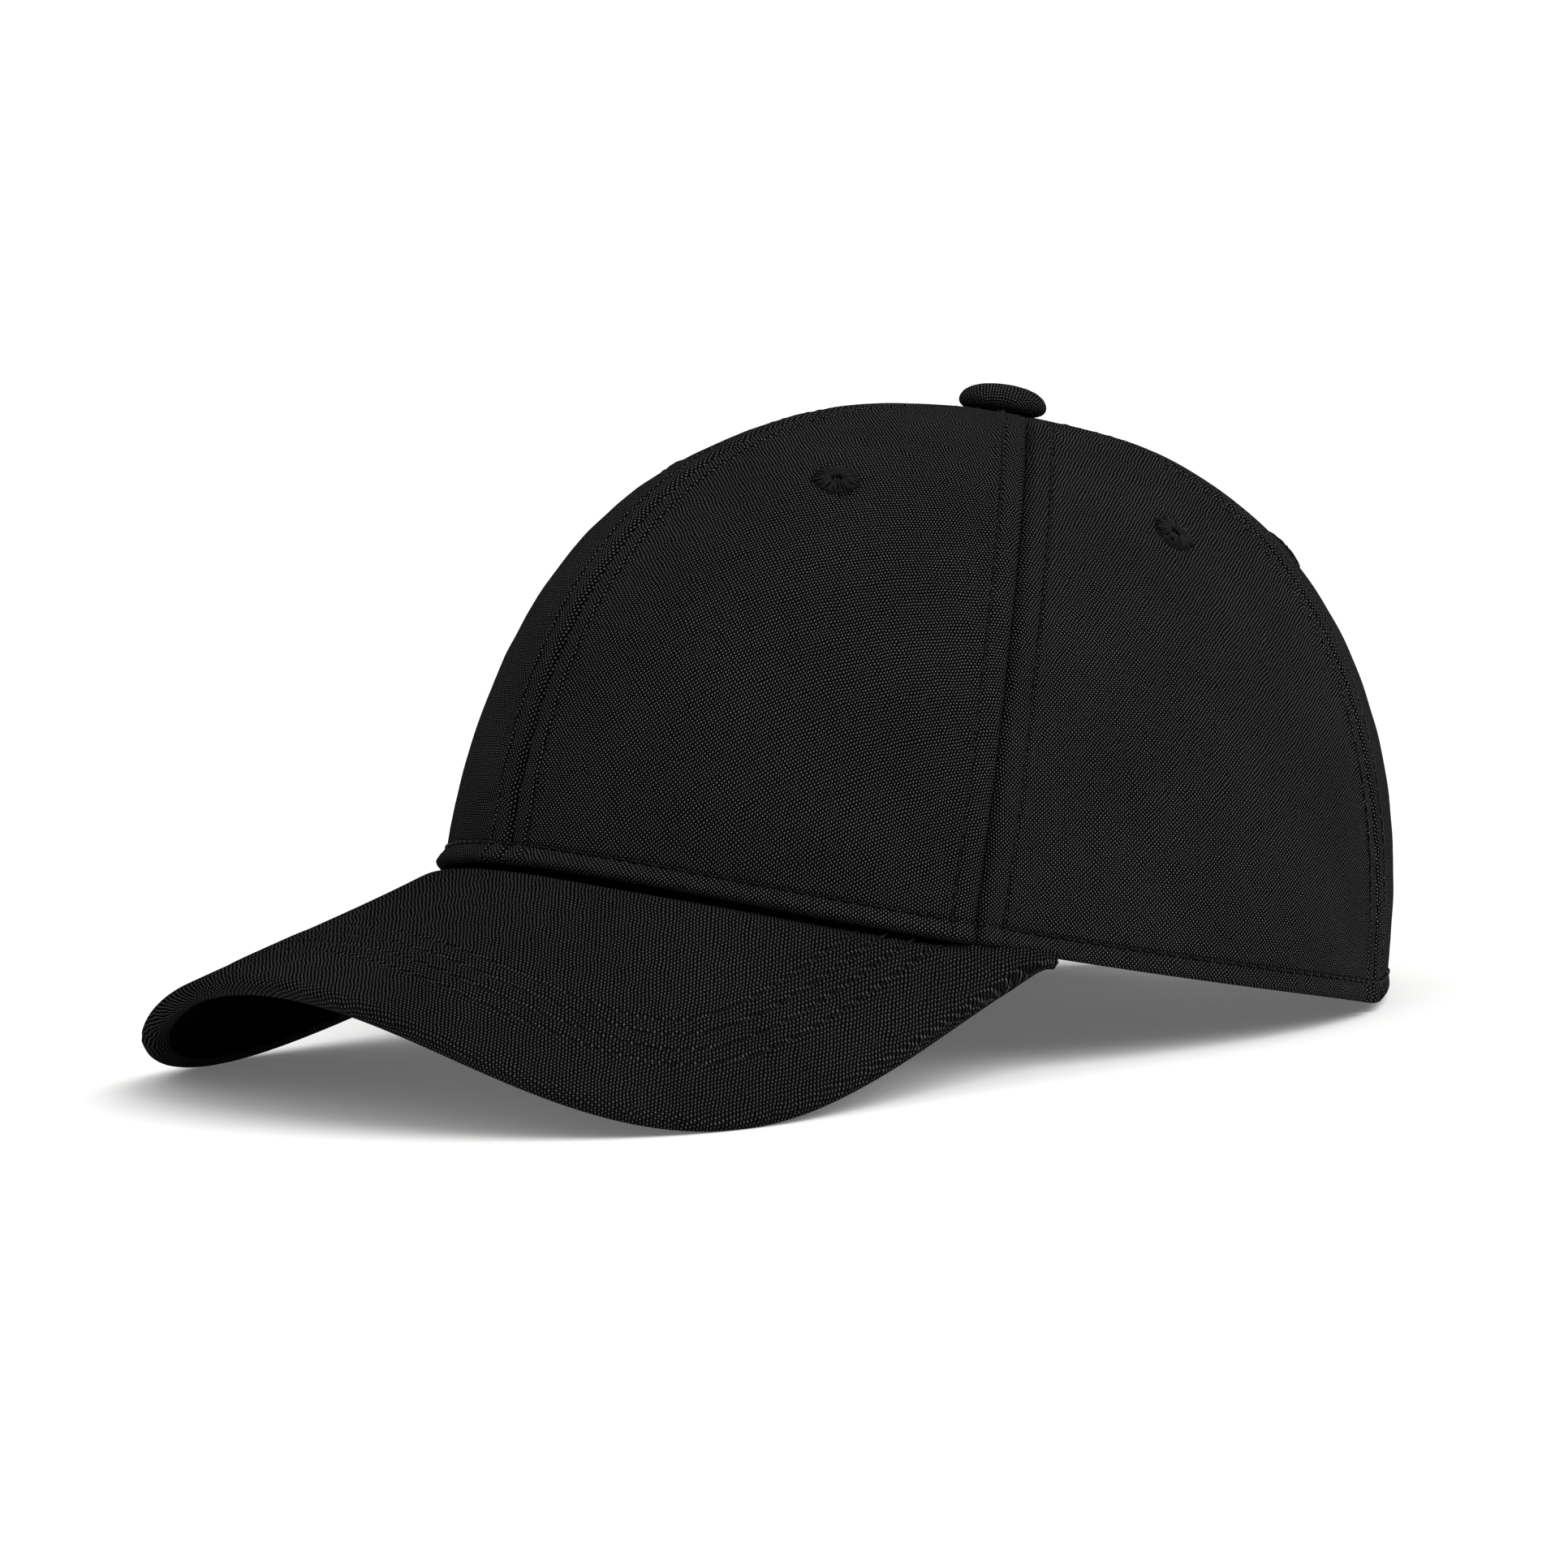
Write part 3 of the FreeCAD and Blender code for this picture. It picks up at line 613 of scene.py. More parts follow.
@dataclass(frozen=True)
class ClothFinish:
    """A woven cloth, matt, its threads standing up as small arches, their tops coloured as a painted
    highlight and the gaps between them as painted shade.
    """

    name: str
    weave: Weave = Weave.PLAIN
    warp_pitch: float = 0.47    # mm between neighbouring lengthwise threads
    weft_pitch: float = 0.47    # mm between neighbouring crosswise threads
    # The first colour is painted shade in the gaps between threads, the second a painted highlight on their
    # tops.
    gap_shade_hex: str = "#010101"
    thread_highlight_hex: str = "#666667"
    highlight_narrowness: float = 3.4          # how narrow the painted highlight on top of each thread is
    weft_highlight_share: float = 0.08    # how bright the painted highlight on the crosswise threads is beside the lengthwise ones
    relief: float = 0.13        # mm
    sheen: float = 0.004
    roughness: float = 0.75

    def build(self) -> bpy.types.Material:
        """Returns the material, with its weave drawn from the cloth's own flat coordinates."""
        material = bpy.data.materials.new(self.name)
        material.use_nodes = True
        tree = material.node_tree
        tree.nodes.clear()

        def maths(operation: str, *values: object) -> bpy.types.NodeSocket:
            """Returns the result of one sum."""
            return add_node(tree, "ShaderNodeMath", dict(enumerate(values)), operation=operation).outputs[0]

        flat = add_node(tree, "ShaderNodeAttribute", attribute_name=CLOTH_ATTRIBUTE).outputs["Vector"]
        wander = add_node(tree, "ShaderNodeTexNoise", {"Vector": flat, "Scale": 0.22, "Detail": 2.0})
        drift = add_node(tree, "ShaderNodeVectorMath", {0: wander.outputs["Color"], 1: (0.5, 0.5, 0.5)},
                         operation="SUBTRACT").outputs[0]
        drift = add_node(tree, "ShaderNodeVectorMath", {0: drift, "Scale": 1.1}, operation="SCALE").outputs[0]
        flat = add_node(tree, "ShaderNodeVectorMath", {0: flat, 1: drift}, operation="ADD").outputs[0]
        axes = add_node(tree, "ShaderNodeSeparateXYZ", {0: flat}).outputs
        u, v = maths("DIVIDE", axes["X"], self.warp_pitch), maths("DIVIDE", axes["Y"], self.weft_pitch)
        arch_u = maths("SINE", maths("MULTIPLY", maths("FRACT", u), pi))
        arch_v = maths("SINE", maths("MULTIPLY", maths("FRACT", v), pi))
        column, row = maths("FLOOR", u), maths("FLOOR", v)
        if self.weave is Weave.TWILL:
            place = maths("FLOORED_MODULO", maths("ADD", column, row), 4.0)
            weft_up = maths("GREATER_THAN", place, 1.5)
        else:
            weft_up = maths("FLOORED_MODULO", maths("ADD", column, row), 2.0)
        warp = maths("MULTIPLY", arch_u, maths("MULTIPLY_ADD", arch_v, 0.6, 0.4))
        weft = maths("MULTIPLY", arch_v, maths("MULTIPLY_ADD", arch_u, 0.6, 0.4))
        if self.weave is Weave.RIB:
            weft = maths("MULTIPLY", arch_u, maths("MULTIPLY_ADD", arch_v, 0.4, 0.4))
        height = add_node(tree, "ShaderNodeMix", {0: weft_up, 2: warp, 3: weft}).outputs[0]
        # Painted highlight: the top of each lengthwise thread is coloured light, the crosswise threads far
        # less, as if lit from one side.
        pale = maths("MULTIPLY", maths("POWER", weft, self.highlight_narrowness), self.weft_highlight_share)
        light = maths("POWER", warp, self.highlight_narrowness)
        painted_highlight = add_node(tree, "ShaderNodeMix", {0: weft_up, 2: light, 3: pale}).outputs[0]
        slub = add_node(tree, "ShaderNodeTexNoise", {"Vector": flat, "Scale": 0.9, "Detail": 3.0}).outputs[0]
        patch = add_node(tree, "ShaderNodeTexNoise",
                         {"Vector": flat, "Scale": 0.035, "Detail": 2.0}).outputs[0]
        vary = maths("MULTIPLY", maths("MULTIPLY_ADD", slub, 1.1, 0.45),
                     maths("MULTIPLY_ADD", patch, 0.6, 0.7))
        shade = maths("MULTIPLY", painted_highlight, vary)
        # Colour runs from the painted shade of the gaps to the painted highlight of the thread tops, clouded
        # at random by slubs and patches.
        colour = add_node(tree, "ShaderNodeMix",
                          {0: shade, 6: linear(self.gap_shade_hex), 7: linear(self.thread_highlight_hex)},
                          data_type="RGBA", clamp_factor=True).outputs[2]
        bump = add_node(tree, "ShaderNodeBump",
                        {"Height": height, "Strength": 1.0, "Distance": self.relief * MM})
        shader = add_node(tree, "ShaderNodeBsdfPrincipled", {
            "Base Color": colour, "Normal": bump.outputs[0], "Roughness": self.roughness,
            "Specular IOR Level": 0.0, "Sheen Weight": self.sheen, "Sheen Roughness": 0.5,
            "Sheen Tint": linear("#8a8a8c")})
        add_node(tree, "ShaderNodeOutputMaterial", {"Surface": shader.outputs[0]})
        return material


@dataclass(frozen=True)
class ThreadFinish:
    """Spun polyester sewing thread: twisted plies that catch a soft light on one side, partly from their bump
    and partly from a paler painted highlight.
    """

    name: str
    colour_hex: str = "#020202"
    # Painted highlight on the lit side of each ply.
    ply_highlight_hex: str = "#0a0a0b"
    ply_per_mm: float = 2.2
    roughness: float = 0.55

    def build(self) -> bpy.types.Material:
        """Returns the material, its plies drawn as slanting bands, the paler bands a painted highlight."""
        material = bpy.data.materials.new(self.name)
        material.use_nodes = True
        tree = material.node_tree
        tree.nodes.clear()
        place = add_node(tree, "ShaderNodeTexCoord").outputs["Object"]
        bands = add_node(tree, "ShaderNodeTexWave", {"Vector": place, "Scale": self.ply_per_mm / MM / 6.3,
                                                     "Distortion": 1.5}, bands_direction="DIAGONAL")
        colour = add_node(tree, "ShaderNodeMix", {0: bands.outputs["Fac"], 6: linear(self.colour_hex),
                                                  7: linear(self.ply_highlight_hex)}, data_type="RGBA").outputs[2]
        bump = add_node(tree, "ShaderNodeBump", {"Height": bands.outputs["Fac"], "Strength": 0.7,
                                                 "Distance": 0.06 * MM})
        shader = add_node(tree, "ShaderNodeBsdfPrincipled", {
            "Base Color": colour, "Normal": bump.outputs[0], "Roughness": self.roughness,
            "Specular IOR Level": 0.1})
        add_node(tree, "ShaderNodeOutputMaterial", {"Surface": shader.outputs[0]})
        return material


@dataclass(frozen=True)
class SteelFinish:
    """Pressed steel, plated and tumbled: fine brushing, worn pale along its edges."""

    name: str
    colour_hex: str = "#8c8882"
    worn_hex: str = "#c9c6c0"
    roughness: float = 0.34
    grain: float = 0.25         # mm

    def build(self) -> bpy.types.Material:
        """Returns the material, brushed along one direction."""
        material = bpy.data.materials.new(self.name)
        material.use_nodes = True
        tree = material.node_tree
        tree.nodes.clear()
        place = add_node(tree, "ShaderNodeTexCoord").outputs["Object"]
        stretch = add_node(tree, "ShaderNodeVectorMath", {0: place, 1: (0.12, 0.12, 1.0)},
                           operation="MULTIPLY").outputs[0]
        grain = add_node(tree, "ShaderNodeTexNoise", {"Vector": stretch, "Scale": 1 / (self.grain * MM),
                                                      "Detail": 4.0}).outputs[0]
        edge = add_node(tree, "ShaderNodeNewGeometry").outputs["Pointiness"]
        worn = add_node(tree, "ShaderNodeMapRange", {0: edge, 1: 0.52, 2: 0.6}).outputs[0]
        colour = add_node(tree, "ShaderNodeMix", {0: worn, 6: linear(self.colour_hex),
                                                  7: linear(self.worn_hex)}, data_type="RGBA").outputs[2]
        rough = add_node(tree, "ShaderNodeMapRange", {0: grain, 3: self.roughness - 0.08,
                                                      4: self.roughness + 0.12}).outputs[0]
        bump = add_node(tree, "ShaderNodeBump", {"Height": grain, "Strength": 0.3, "Distance": 0.03 * MM})
        shader = add_node(tree, "ShaderNodeBsdfPrincipled", {
            "Base Color": colour, "Metallic": 1.0, "Roughness": rough, "Normal": bump.outputs[0]})
        add_node(tree, "ShaderNodeOutputMaterial", {"Surface": shader.outputs[0]})
        return material


@dataclass(frozen=True)
class PlainFinish:
    """Moulded sheet or felt: one colour, clouded and pitted a little."""

    name: str
    colour_hex: str
    dark_hex: str
    grain: float                # mm
    roughness: float = 0.6

    def build(self) -> bpy.types.Material:
        """Returns the material."""
        material = bpy.data.materials.new(self.name)
        material.use_nodes = True
        tree = material.node_tree
        tree.nodes.clear()
        place = add_node(tree, "ShaderNodeTexCoord").outputs["Object"]
        noise = add_node(tree, "ShaderNodeTexNoise", {"Vector": place, "Scale": 1 / (self.grain * MM),
                                                      "Detail": 5.0}).outputs[0]
        colour = add_node(tree, "ShaderNodeMix", {0: noise, 6: linear(self.dark_hex),
                                                  7: linear(self.colour_hex)}, data_type="RGBA").outputs[2]
        bump = add_node(tree, "ShaderNodeBump", {"Height": noise, "Strength": 0.5, "Distance": 0.08 * MM})
        shader = add_node(tree, "ShaderNodeBsdfPrincipled", {
            "Base Color": colour, "Normal": bump.outputs[0], "Roughness": self.roughness,
            "Specular IOR Level": 0.3})
        add_node(tree, "ShaderNodeOutputMaterial", {"Surface": shader.outputs[0]})
        return material


class Wardrobe:
    """Every finish of the cap, each built once."""

    def __init__(self) -> None:
        """Builds the materials."""
        # Cotton canvas, piece-dyed black: pin-point painted highlights on the warp, painted shade between the
        # threads, no gloss.
        self.canvas = ClothFinish("cotton_canvas_woven_black").build()
        # The visor's cotton: a thick warp covers the weft, which leaves fine cords with a painted highlight
        # along each.
        self.ribbed = ClothFinish("cotton_rib_woven_black", Weave.RIB, 0.69, 0.42,
                                  thread_highlight_hex="#525253", weft_highlight_share=0.5).build()
        # Under cover: the same canvas, its threads painted darker as painted shade under the visor.
        self.under = ClothFinish("cotton_canvas_woven_black_under", thread_highlight_hex="#0c0c0d").build()
        # Cotton twill tape, for the seams inside and the rear opening.
        self.tape = ClothFinish("cotton_twill_tape_woven", Weave.TWILL, 0.6, 0.6,
                                thread_highlight_hex="#303032").build()
        # Sweatband: brushed cotton twill.
        self.sweat = ClothFinish("cotton_twill_brushed_black", Weave.TWILL, 0.7, 0.7, thread_highlight_hex="#343436",
                                 sheen=0.2).build()
        # Buckram: open cotton mesh stiffened with starch.
        self.buckram = ClothFinish("buckram_mesh_starched", Weave.PLAIN, 1.3, 1.3, gap_shade_hex="#020202",
                                   thread_highlight_hex="#3d3d3f", relief=0.3).build()
        # Lockstitch thread, black polyester.
        self.thread = ThreadFinish("polyester_thread_spun_black").build()
        # Embroidery thread: smoother, with a soft lustre.
        self.silk = ThreadFinish("rayon_thread_embroidery_black", "#020202", "#0b0b0c", roughness=0.5).build()
        # Buckle: pressed steel with a gunmetal plating.
        self.gunmetal = SteelFinish("pressed_steel_gunmetal_plated", "#5d5b58", "#a9a6a1").build()
        # Button shell, tack and washer: tinned steel.
        self.tin = SteelFinish("pressed_steel_tinned", "#a3a29e", "#d5d3cf", 0.3).build()
        # Visor board: extruded polyethylene.
        self.board = PlainFinish("polyethylene_sheet_extruded", "#1b1b1c", "#141415", 2.0, 0.45).build()
        # Interlining: needled polyester felt.
        self.felt = PlainFinish("polyester_felt_needled", "#8e8e8e", "#6a6a6a", 0.5, 0.95).build()


# ---- Crown --------------------------------------------------------------------------------
def grid_normals(points: Array) -> Array:
    """Returns unit normals of a grid of points, from its own slopes."""
    return unit(np.cross(np.gradient(points, axis=1), np.gradient(points, axis=0)))


def ripple(seed: int, *axes: Array, count: int = 7, low: float = 0.02, high: float = 0.12) -> Array:
    """Sums some slow waves into a gentle unevenness of about plus or minus one.

    Args:
        seed: Seed of the directions and phases.
        axes: Coordinates, in millimetres.
        count: Number of waves.
        low: Lowest angular frequency, per millimetre.
        high: Highest one.

    Returns:
        The unevenness at each point.
    """
    draw = np.random.default_rng(seed)
    total = np.zeros(np.broadcast(*axes).shape)
    for _ in range(count):
        direction = draw.normal(size=len(axes))
        direction *= draw.uniform(low, high) / np.linalg.norm(direction)
        total = total + np.sin(sum(k * axis for k, axis in zip(direction, axes)) + draw.uniform(0, 2 * pi))
    return total / count ** 0.5


class Side(Enum):
    """Wearer's side of a piece, with the sign of its x."""

    LEFT = 1
    RIGHT = -1

    @property
    def word(self) -> str:
        """Returns the side as it stands in a piece's name."""
        return self.name.lower()


@dataclass(frozen=True)
class Seam:
    """A felled crown seam: a valley between two padded allowances, each held by a top stitch."""

    groove_depth: float = 1.4
    groove_width: float = 0.8
    pad_height: float = 0.5
    pad_reach: float = 6.6
    stitch_at: float = 5.5
    stitch_depth: float = 0.65
    stitch_width: float = 0.5

    def profile(self, distance: Array) -> Array:
        """Shapes the cloth beside the seam.

        Args:
            distance: Distances from the seam.

        Returns:
            How far the cloth stands out there.
        """
        beyond = smooth_step(self.pad_reach - 0.8, self.pad_reach + 1.6, distance)
        pad = smooth_step(0.2, 2.2, distance) * (1 - beyond)
        valley = self.groove_depth * np.exp(-(distance / self.groove_width) ** 1.4)
        stitched = self.stitch_depth * dip(distance, self.stitch_at, self.stitch_width)
        return self.pad_height * pad - valley - stitched


@dataclass(frozen=True)
class PanelCut:
    """One pattern piece of the crown, between two seams."""

    name: str
    low: float                  # degrees from the front
    high: float
    grain: float                # where its lengthwise thread runs, in degrees
    eyelet: tuple[float, float]
    arched: bool = False


@dataclass
class Crown:
    """Six panels, their top stitching and the rolled hem."""

    wardrobe: Wardrobe
    cuts: tuple[PanelCut, ...] = (
        PanelCut("front_panel", 0.0, FRONT_SIDE_SEAM, 30.0, EYELET_PLACES["front"]),
        PanelCut("side_panel", FRONT_SIDE_SEAM, REAR_SIDE_SEAM, 97.7, EYELET_PLACES["side"]),
        PanelCut("rear_panel", REAR_SIDE_SEAM, 180.0, 155.1, EYELET_PLACES["rear"], True))
    seams: tuple[float, ...] = (0.0, FRONT_SIDE_SEAM, REAR_SIDE_SEAM, 180.0)
    seam: Seam = Seam()
    thread: Thread = Thread()
    thickness: float = 0.45
    band: float = 9.0           # strip beside each seam that is meshed finely
    hem_rows: float = 4.8       # the cloth keeps its own length round the hem up to here
    hem_stitch: float = 4.3
    hem_roll: float = 1.7       # thickness of the folded edge
    hem_bulge: float = 1.5      # how far the roll stands out over the visor
    arch_half_width: float = 38.0
    arch_height: float = 47.2
    arch_stitch: tuple[float, float] = (2.6, 7.2)
    top: float = radians(88.6)
    rows_up: int = 150
    back_radius: float = 91.5   # of the hem beside the opening
    hem_end_radius: float = 91.0    # the same, where the hem's stitching stops
    slack: float = 0.28         # how far the cloth strays from the smooth crown
    pucker: float = 0.03        # how far the top stitching draws the cloth up

    def strips(self) -> Array:
        """Returns shares across a panel, close together beside both seams; -1 to 0 and 1 to 2 are strips."""
        strip = np.array([0, .03, .06, .09, .12, .16, .2, .25, .3, .36, .42, .48, .52, .56, .59, .62, .65,
                          .68, .72, .78, .85, .92])
        middle = np.linspace(0, 1, 42)
        return np.concatenate([strip - 1, middle, 2 - strip[::-1]])

    def spread_between(self, low: Array, high: Array, psi: Array) -> Array:
        """Places columns between two seams, at fixed distances in mm beside them.

        Args:
            low: Angle of the first seam.
            high: Angle of the second seam.
            psi: Heights of the row, as psi at its middle.

        Returns:
            Angles, one row per psi.
        """
        share = self.strips()[None, :]
        width = (CROWN.girth((low + high) / 2, psi) * (high - low))[:, None]
        band = np.minimum(self.band, 0.42 * width) / width
        place = np.where(share < 0, (share + 1) * band,
                         np.where(share > 1, 1 - (2 - share) * band, band + share * (1 - 2 * band)))
        return low + (high - low) * place

    def panel_grid(self, cut: PanelCut) -> tuple[Array, Array, Array, Array]:
        """Lays out one panel on the wearer's left.

        Args:
            cut: The pattern piece.

        Returns:
            phi, psi, distance above the bound edge, and depth of the folded edge, on the panel's grid.
        """
        low, high = radians(cut.low), radians(cut.high)
        fold = [(4.8, 1.0), (3.6, 1.0), (2.4, 1.0), (1.4, 1.0), (0.8, 0.99), (0.35, 0.9), (0.08, 0.7),
                (-0.02, 0.5), (0.08, 0.3), (0.35, 0.1), (0.8, 0.01)]
        near = [1.2, 1.7, 2.2, 2.7, 3.1, 3.5, 3.8, 4.05, 4.3, 4.55, 4.8, 5.1, 5.5, 6.0, 6.7, 7.4,
                8.2, 9.0, 10.0]
        offsets = np.array([f[0] for f in fold] + near)
        depths = np.array([f[1] for f in fold] + [0.0] * len(near)) * self.hem_roll
        if cut.arched:
            phi_rows, psi_rows = self.arched_rows(low, high, offsets)
        else:
            phi = np.stack([self.spread_between(low, high, np.array([0.02]))[0]] * len(offsets))
            phi_rows, psi_rows = phi, CROWN.psi_at(phi, offsets[:, None])
        last_phi, last_psi = phi_rows[-1], psi_rows[-1]
        psi_up = np.linspace(0, 1, self.rows_up)[1:, None] ** 0.95
        psi_more = last_psi + (self.top - last_psi) * psi_up
        phi_more = self.spread_between(low, high, psi_more.mean(axis=1))
        if cut.arched:
            ease = smooth_step(0.0, 0.55, psi_up)
            phi_more = last_phi * (1 - ease) + self.matched(phi_more, last_phi) * ease
        above = np.concatenate([np.broadcast_to(offsets[:, None], phi_rows.shape),
                                np.full(phi_more.shape, 99.0)])
        depth = np.concatenate([np.broadcast_to(depths[:, None], phi_rows.shape), np.zeros(phi_more.shape)])
        return np.concatenate([phi_rows, phi_more]), np.concatenate([psi_rows, psi_more]), above, depth

    @staticmethod
    def matched(rows: Array, like: Array) -> Array:
        """Resamples rows of angles to the number of columns of another row."""
        places = np.linspace(0, 1, len(like))
        return np.stack([np.interp(places, np.linspace(0, 1, rows.shape[1]), row) for row in rows])

    def arched_rows(self, low: float, high: float, offsets: Array) -> tuple[Array, Array]:
        """Lays rows along the hem and then round the half-moon opening.

        Args:
            low: Angle of the side seam.
            high: Angle of the back seam.
            offsets: Distance of each row from the bound edge.

        Returns:
            phi and psi of the rows.
        """
        phis, psis = [], []
        for offset in offsets:
            wide, tall = self.arch_half_width + offset, self.arch_height + offset
            start = np.arcsin(max(offset, 0.0) / tall)
            turn = np.linspace(start, pi / 2, 90)
            phi_arch, psi_arch = CROWN.through(wide * np.cos(turn), tall * np.sin(turn))
            share = np.concatenate([np.linspace(0, 0.3, 22), np.linspace(0.3, 1, 22)[1:]])[:-1]
            phi_hem = low + (phi_arch[0] - low) * share
            phis.append(np.concatenate([phi_hem, phi_arch]))
            psis.append(np.concatenate([CROWN.psi_at(phi_hem, np.full(len(share), offset)), psi_arch]))
        return np.array(phis), np.array(psis)

    def unevenness(self, points: Array) -> Array:
        """Returns how far the cloth swells out or in at points of the crown."""
        return self.slack * ripple(11, *np.moveaxis(points, -1, 0))

    def relief(self, cut: PanelCut, phi: Array, psi: Array, above: Array) -> Array:
        """Returns how far the cloth stands off the smooth crown.

        Args:
            cut: The pattern piece.
            phi: Angles on its grid.
            psi: Heights on its grid.
            above: Distances from the bound edge.

        Returns:
            Millimetres outwards.
        """
        girth = CROWN.girth(phi, psi)
        to_low, to_high = (phi - radians(cut.low)) * girth, (radians(cut.high) - phi) * girth
        points = CROWN.on(phi, psi)
        climb = points[..., 2]
        near_top = smooth_step(radians(72), radians(84), psi)
        out = self.seam.profile(np.maximum(to_low, 0)) + self.seam.profile(np.maximum(to_high, 0))
        beside_seams = dip(to_low, 4.0, 2.6) + dip(to_high, 4.0, 2.6)
        pucker = self.pucker * np.sin(climb * 1.9 + 1.3 * np.sin(climb * 0.37)) * beside_seams
        out = (out + pucker) * (1 - 0.88 * near_top)
        out = out + self.unevenness(points)
        out = out + 0.05 * ripple(12, *np.moveaxis(points, -1, 0), low=0.4, high=1.1)
        ahead = 1 - smooth_step(radians(70), radians(80), phi)
        hem = 0.25 * (1 - smooth_step(3.6, 5.6, above)) - 0.6 * dip(above, self.hem_stitch, 0.5)
        roll = self.hem_bulge * ahead * dip(above, 1.3, 1.7) + 0.35 * (1 - ahead) * dip(above, 1.2, 1.6)
        tug = 0.12 * np.sin(phi * girth * 2.0) * dip(above, 2.6, 2.0)
        if cut.arched:
            beside = smooth_step(radians(180) - 40 / self.back_radius,
                                 radians(180) - 36 / self.back_radius, phi)
            arch = sum(-0.36 * dip(above, place, 0.5) for place in self.arch_stitch)
            arch = arch + 0.3 * (1 - smooth_step(6.8, 8.6, above))
            hem = hem * (1 - beside) + arch * beside
        return out + hem + roll + tug

    def build_panel(self, cut: PanelCut, side: Side) -> bpy.types.Object:
        """Builds one panel on one side.

        Args:
            cut: The pattern piece.
            side: Wearer's side.

        Returns:
            The new object.
        """
        phi, psi, above, depth = self.panel_grid(cut)
        out = self.relief(cut, phi, psi, above)
        points = CROWN.off(phi, psi, np.where(depth > 0, -depth, 0) + out * (1 - depth / self.hem_roll))
        eyelet_phi, eyelet_psi = radians(cut.eyelet[0]), radians(cut.eyelet[1])
        centre = CROWN.on(eyelet_phi, eyelet_psi)
        reach = np.linalg.norm(points - centre, axis=-1)
        normal = CROWN.normal(phi, psi)
        points = points - normal * (0.25 * dip(reach, 5.2, 1.0))[..., None]
        back = points - grid_normals(points) * self.thickness
        flat = CROWN.flatten(phi, psi, radians(cut.grain))
        if not cut.arched:
            rolled = int(np.argmax((above[:, 0] >= self.hem_rows) & (depth[:, 0] == 0)))
            length = run_length(points, 0)
            flat[:rolled, :, 1] = flat[rolled, :, 1] - (length[rolled] - length[:rolled])
        mirror = np.array([side.value, 1, 1])
        piece = make_sheet(f"{cut.name}_{side.word}", points * mirror, back * mirror,
                           flat * np.array([side.value, 1]))
        return piece

    def rows_of_stitches(self) -> list[tuple[Array, Array]]:
        """Returns the paths of all top stitching on the crown's outside."""
        paths = []
        for seam in self.seams:
            for side in (-1, 1):
                for sign in (-1, 1):
                    if (seam in (0.0, 180.0)) and side != sign:
                        continue
                    foot = self.hem_stitch if seam < 150 else self.arch_height + self.arch_stitch[1]
                    low = CROWN.psi_at(radians(seam), foot)
                    psi = np.linspace(low, radians(84.5), 400)
                    phi = radians(seam) + side * self.seam.stitch_at / CROWN.girth(radians(seam), psi)
                    if seam in (0.0, 180.0):
                        phi = radians(seam) + sign * self.seam.stitch_at / CROWN.girth(radians(seam), psi)
                        sign_here = 1
                    else:
                        sign_here = sign
                    out = self.seam.pad_height * 0.8 - self.seam.stitch_depth
                    points = CROWN.off(phi, psi, np.full(psi.shape, out + 0.26))
                    normal = CROWN.normal(phi, psi)
                    mirror = np.array([sign_here, 1, 1])
                    paths.append((points * mirror, normal * mirror))
        return paths

    def hem_path(self) -> list[tuple[Array, Array]]:
        """Returns the stitching round the hem and the opening."""
        end = 180 - np.degrees(np.arcsin((self.arch_half_width + 3) / self.hem_end_radius))
        phi = np.linspace(-radians(end), radians(end), 1500)
        psi = CROWN.psi_at(phi, np.full(phi.shape, self.hem_stitch))
        ripple_out = self.unevenness(CROWN.on(np.abs(phi), psi))
        paths = [(CROWN.off(phi, psi, ripple_out + 0.1), CROWN.normal(phi, psi))]
        for place in self.arch_stitch:
            turn = np.linspace(0.12, pi - 0.12, 700)
            phi, psi = CROWN.through((self.arch_half_width + place) * np.cos(turn),
                                     (self.arch_height + place) * np.sin(turn))
            mirrored = np.where(phi > pi, 2 * pi - phi, phi)
            ripple_out = self.unevenness(CROWN.on(mirrored, psi))
            paths.append((CROWN.off(phi, psi, ripple_out + 0.08), CROWN.normal(phi, psi)))
        return paths

    def build(self) -> None:
        """Builds the panels and the stitching."""
        for cut in self.cuts:
            for side in Side:
                node = f"{cut.name}_{side.word}"
                finish_piece(self.build_panel(cut, side), self.wardrobe.canvas, "crown_fabric", node)
        stitches = make_stitches("crown_top_stitching", self.thread, self.rows_of_stitches())
        finish_piece(stitches, self.wardrobe.thread, "crown_fabric")
        stitches = make_stitches("hem_stitching", self.thread, self.hem_path())
        finish_piece(stitches, self.wardrobe.thread, "crown_fabric")


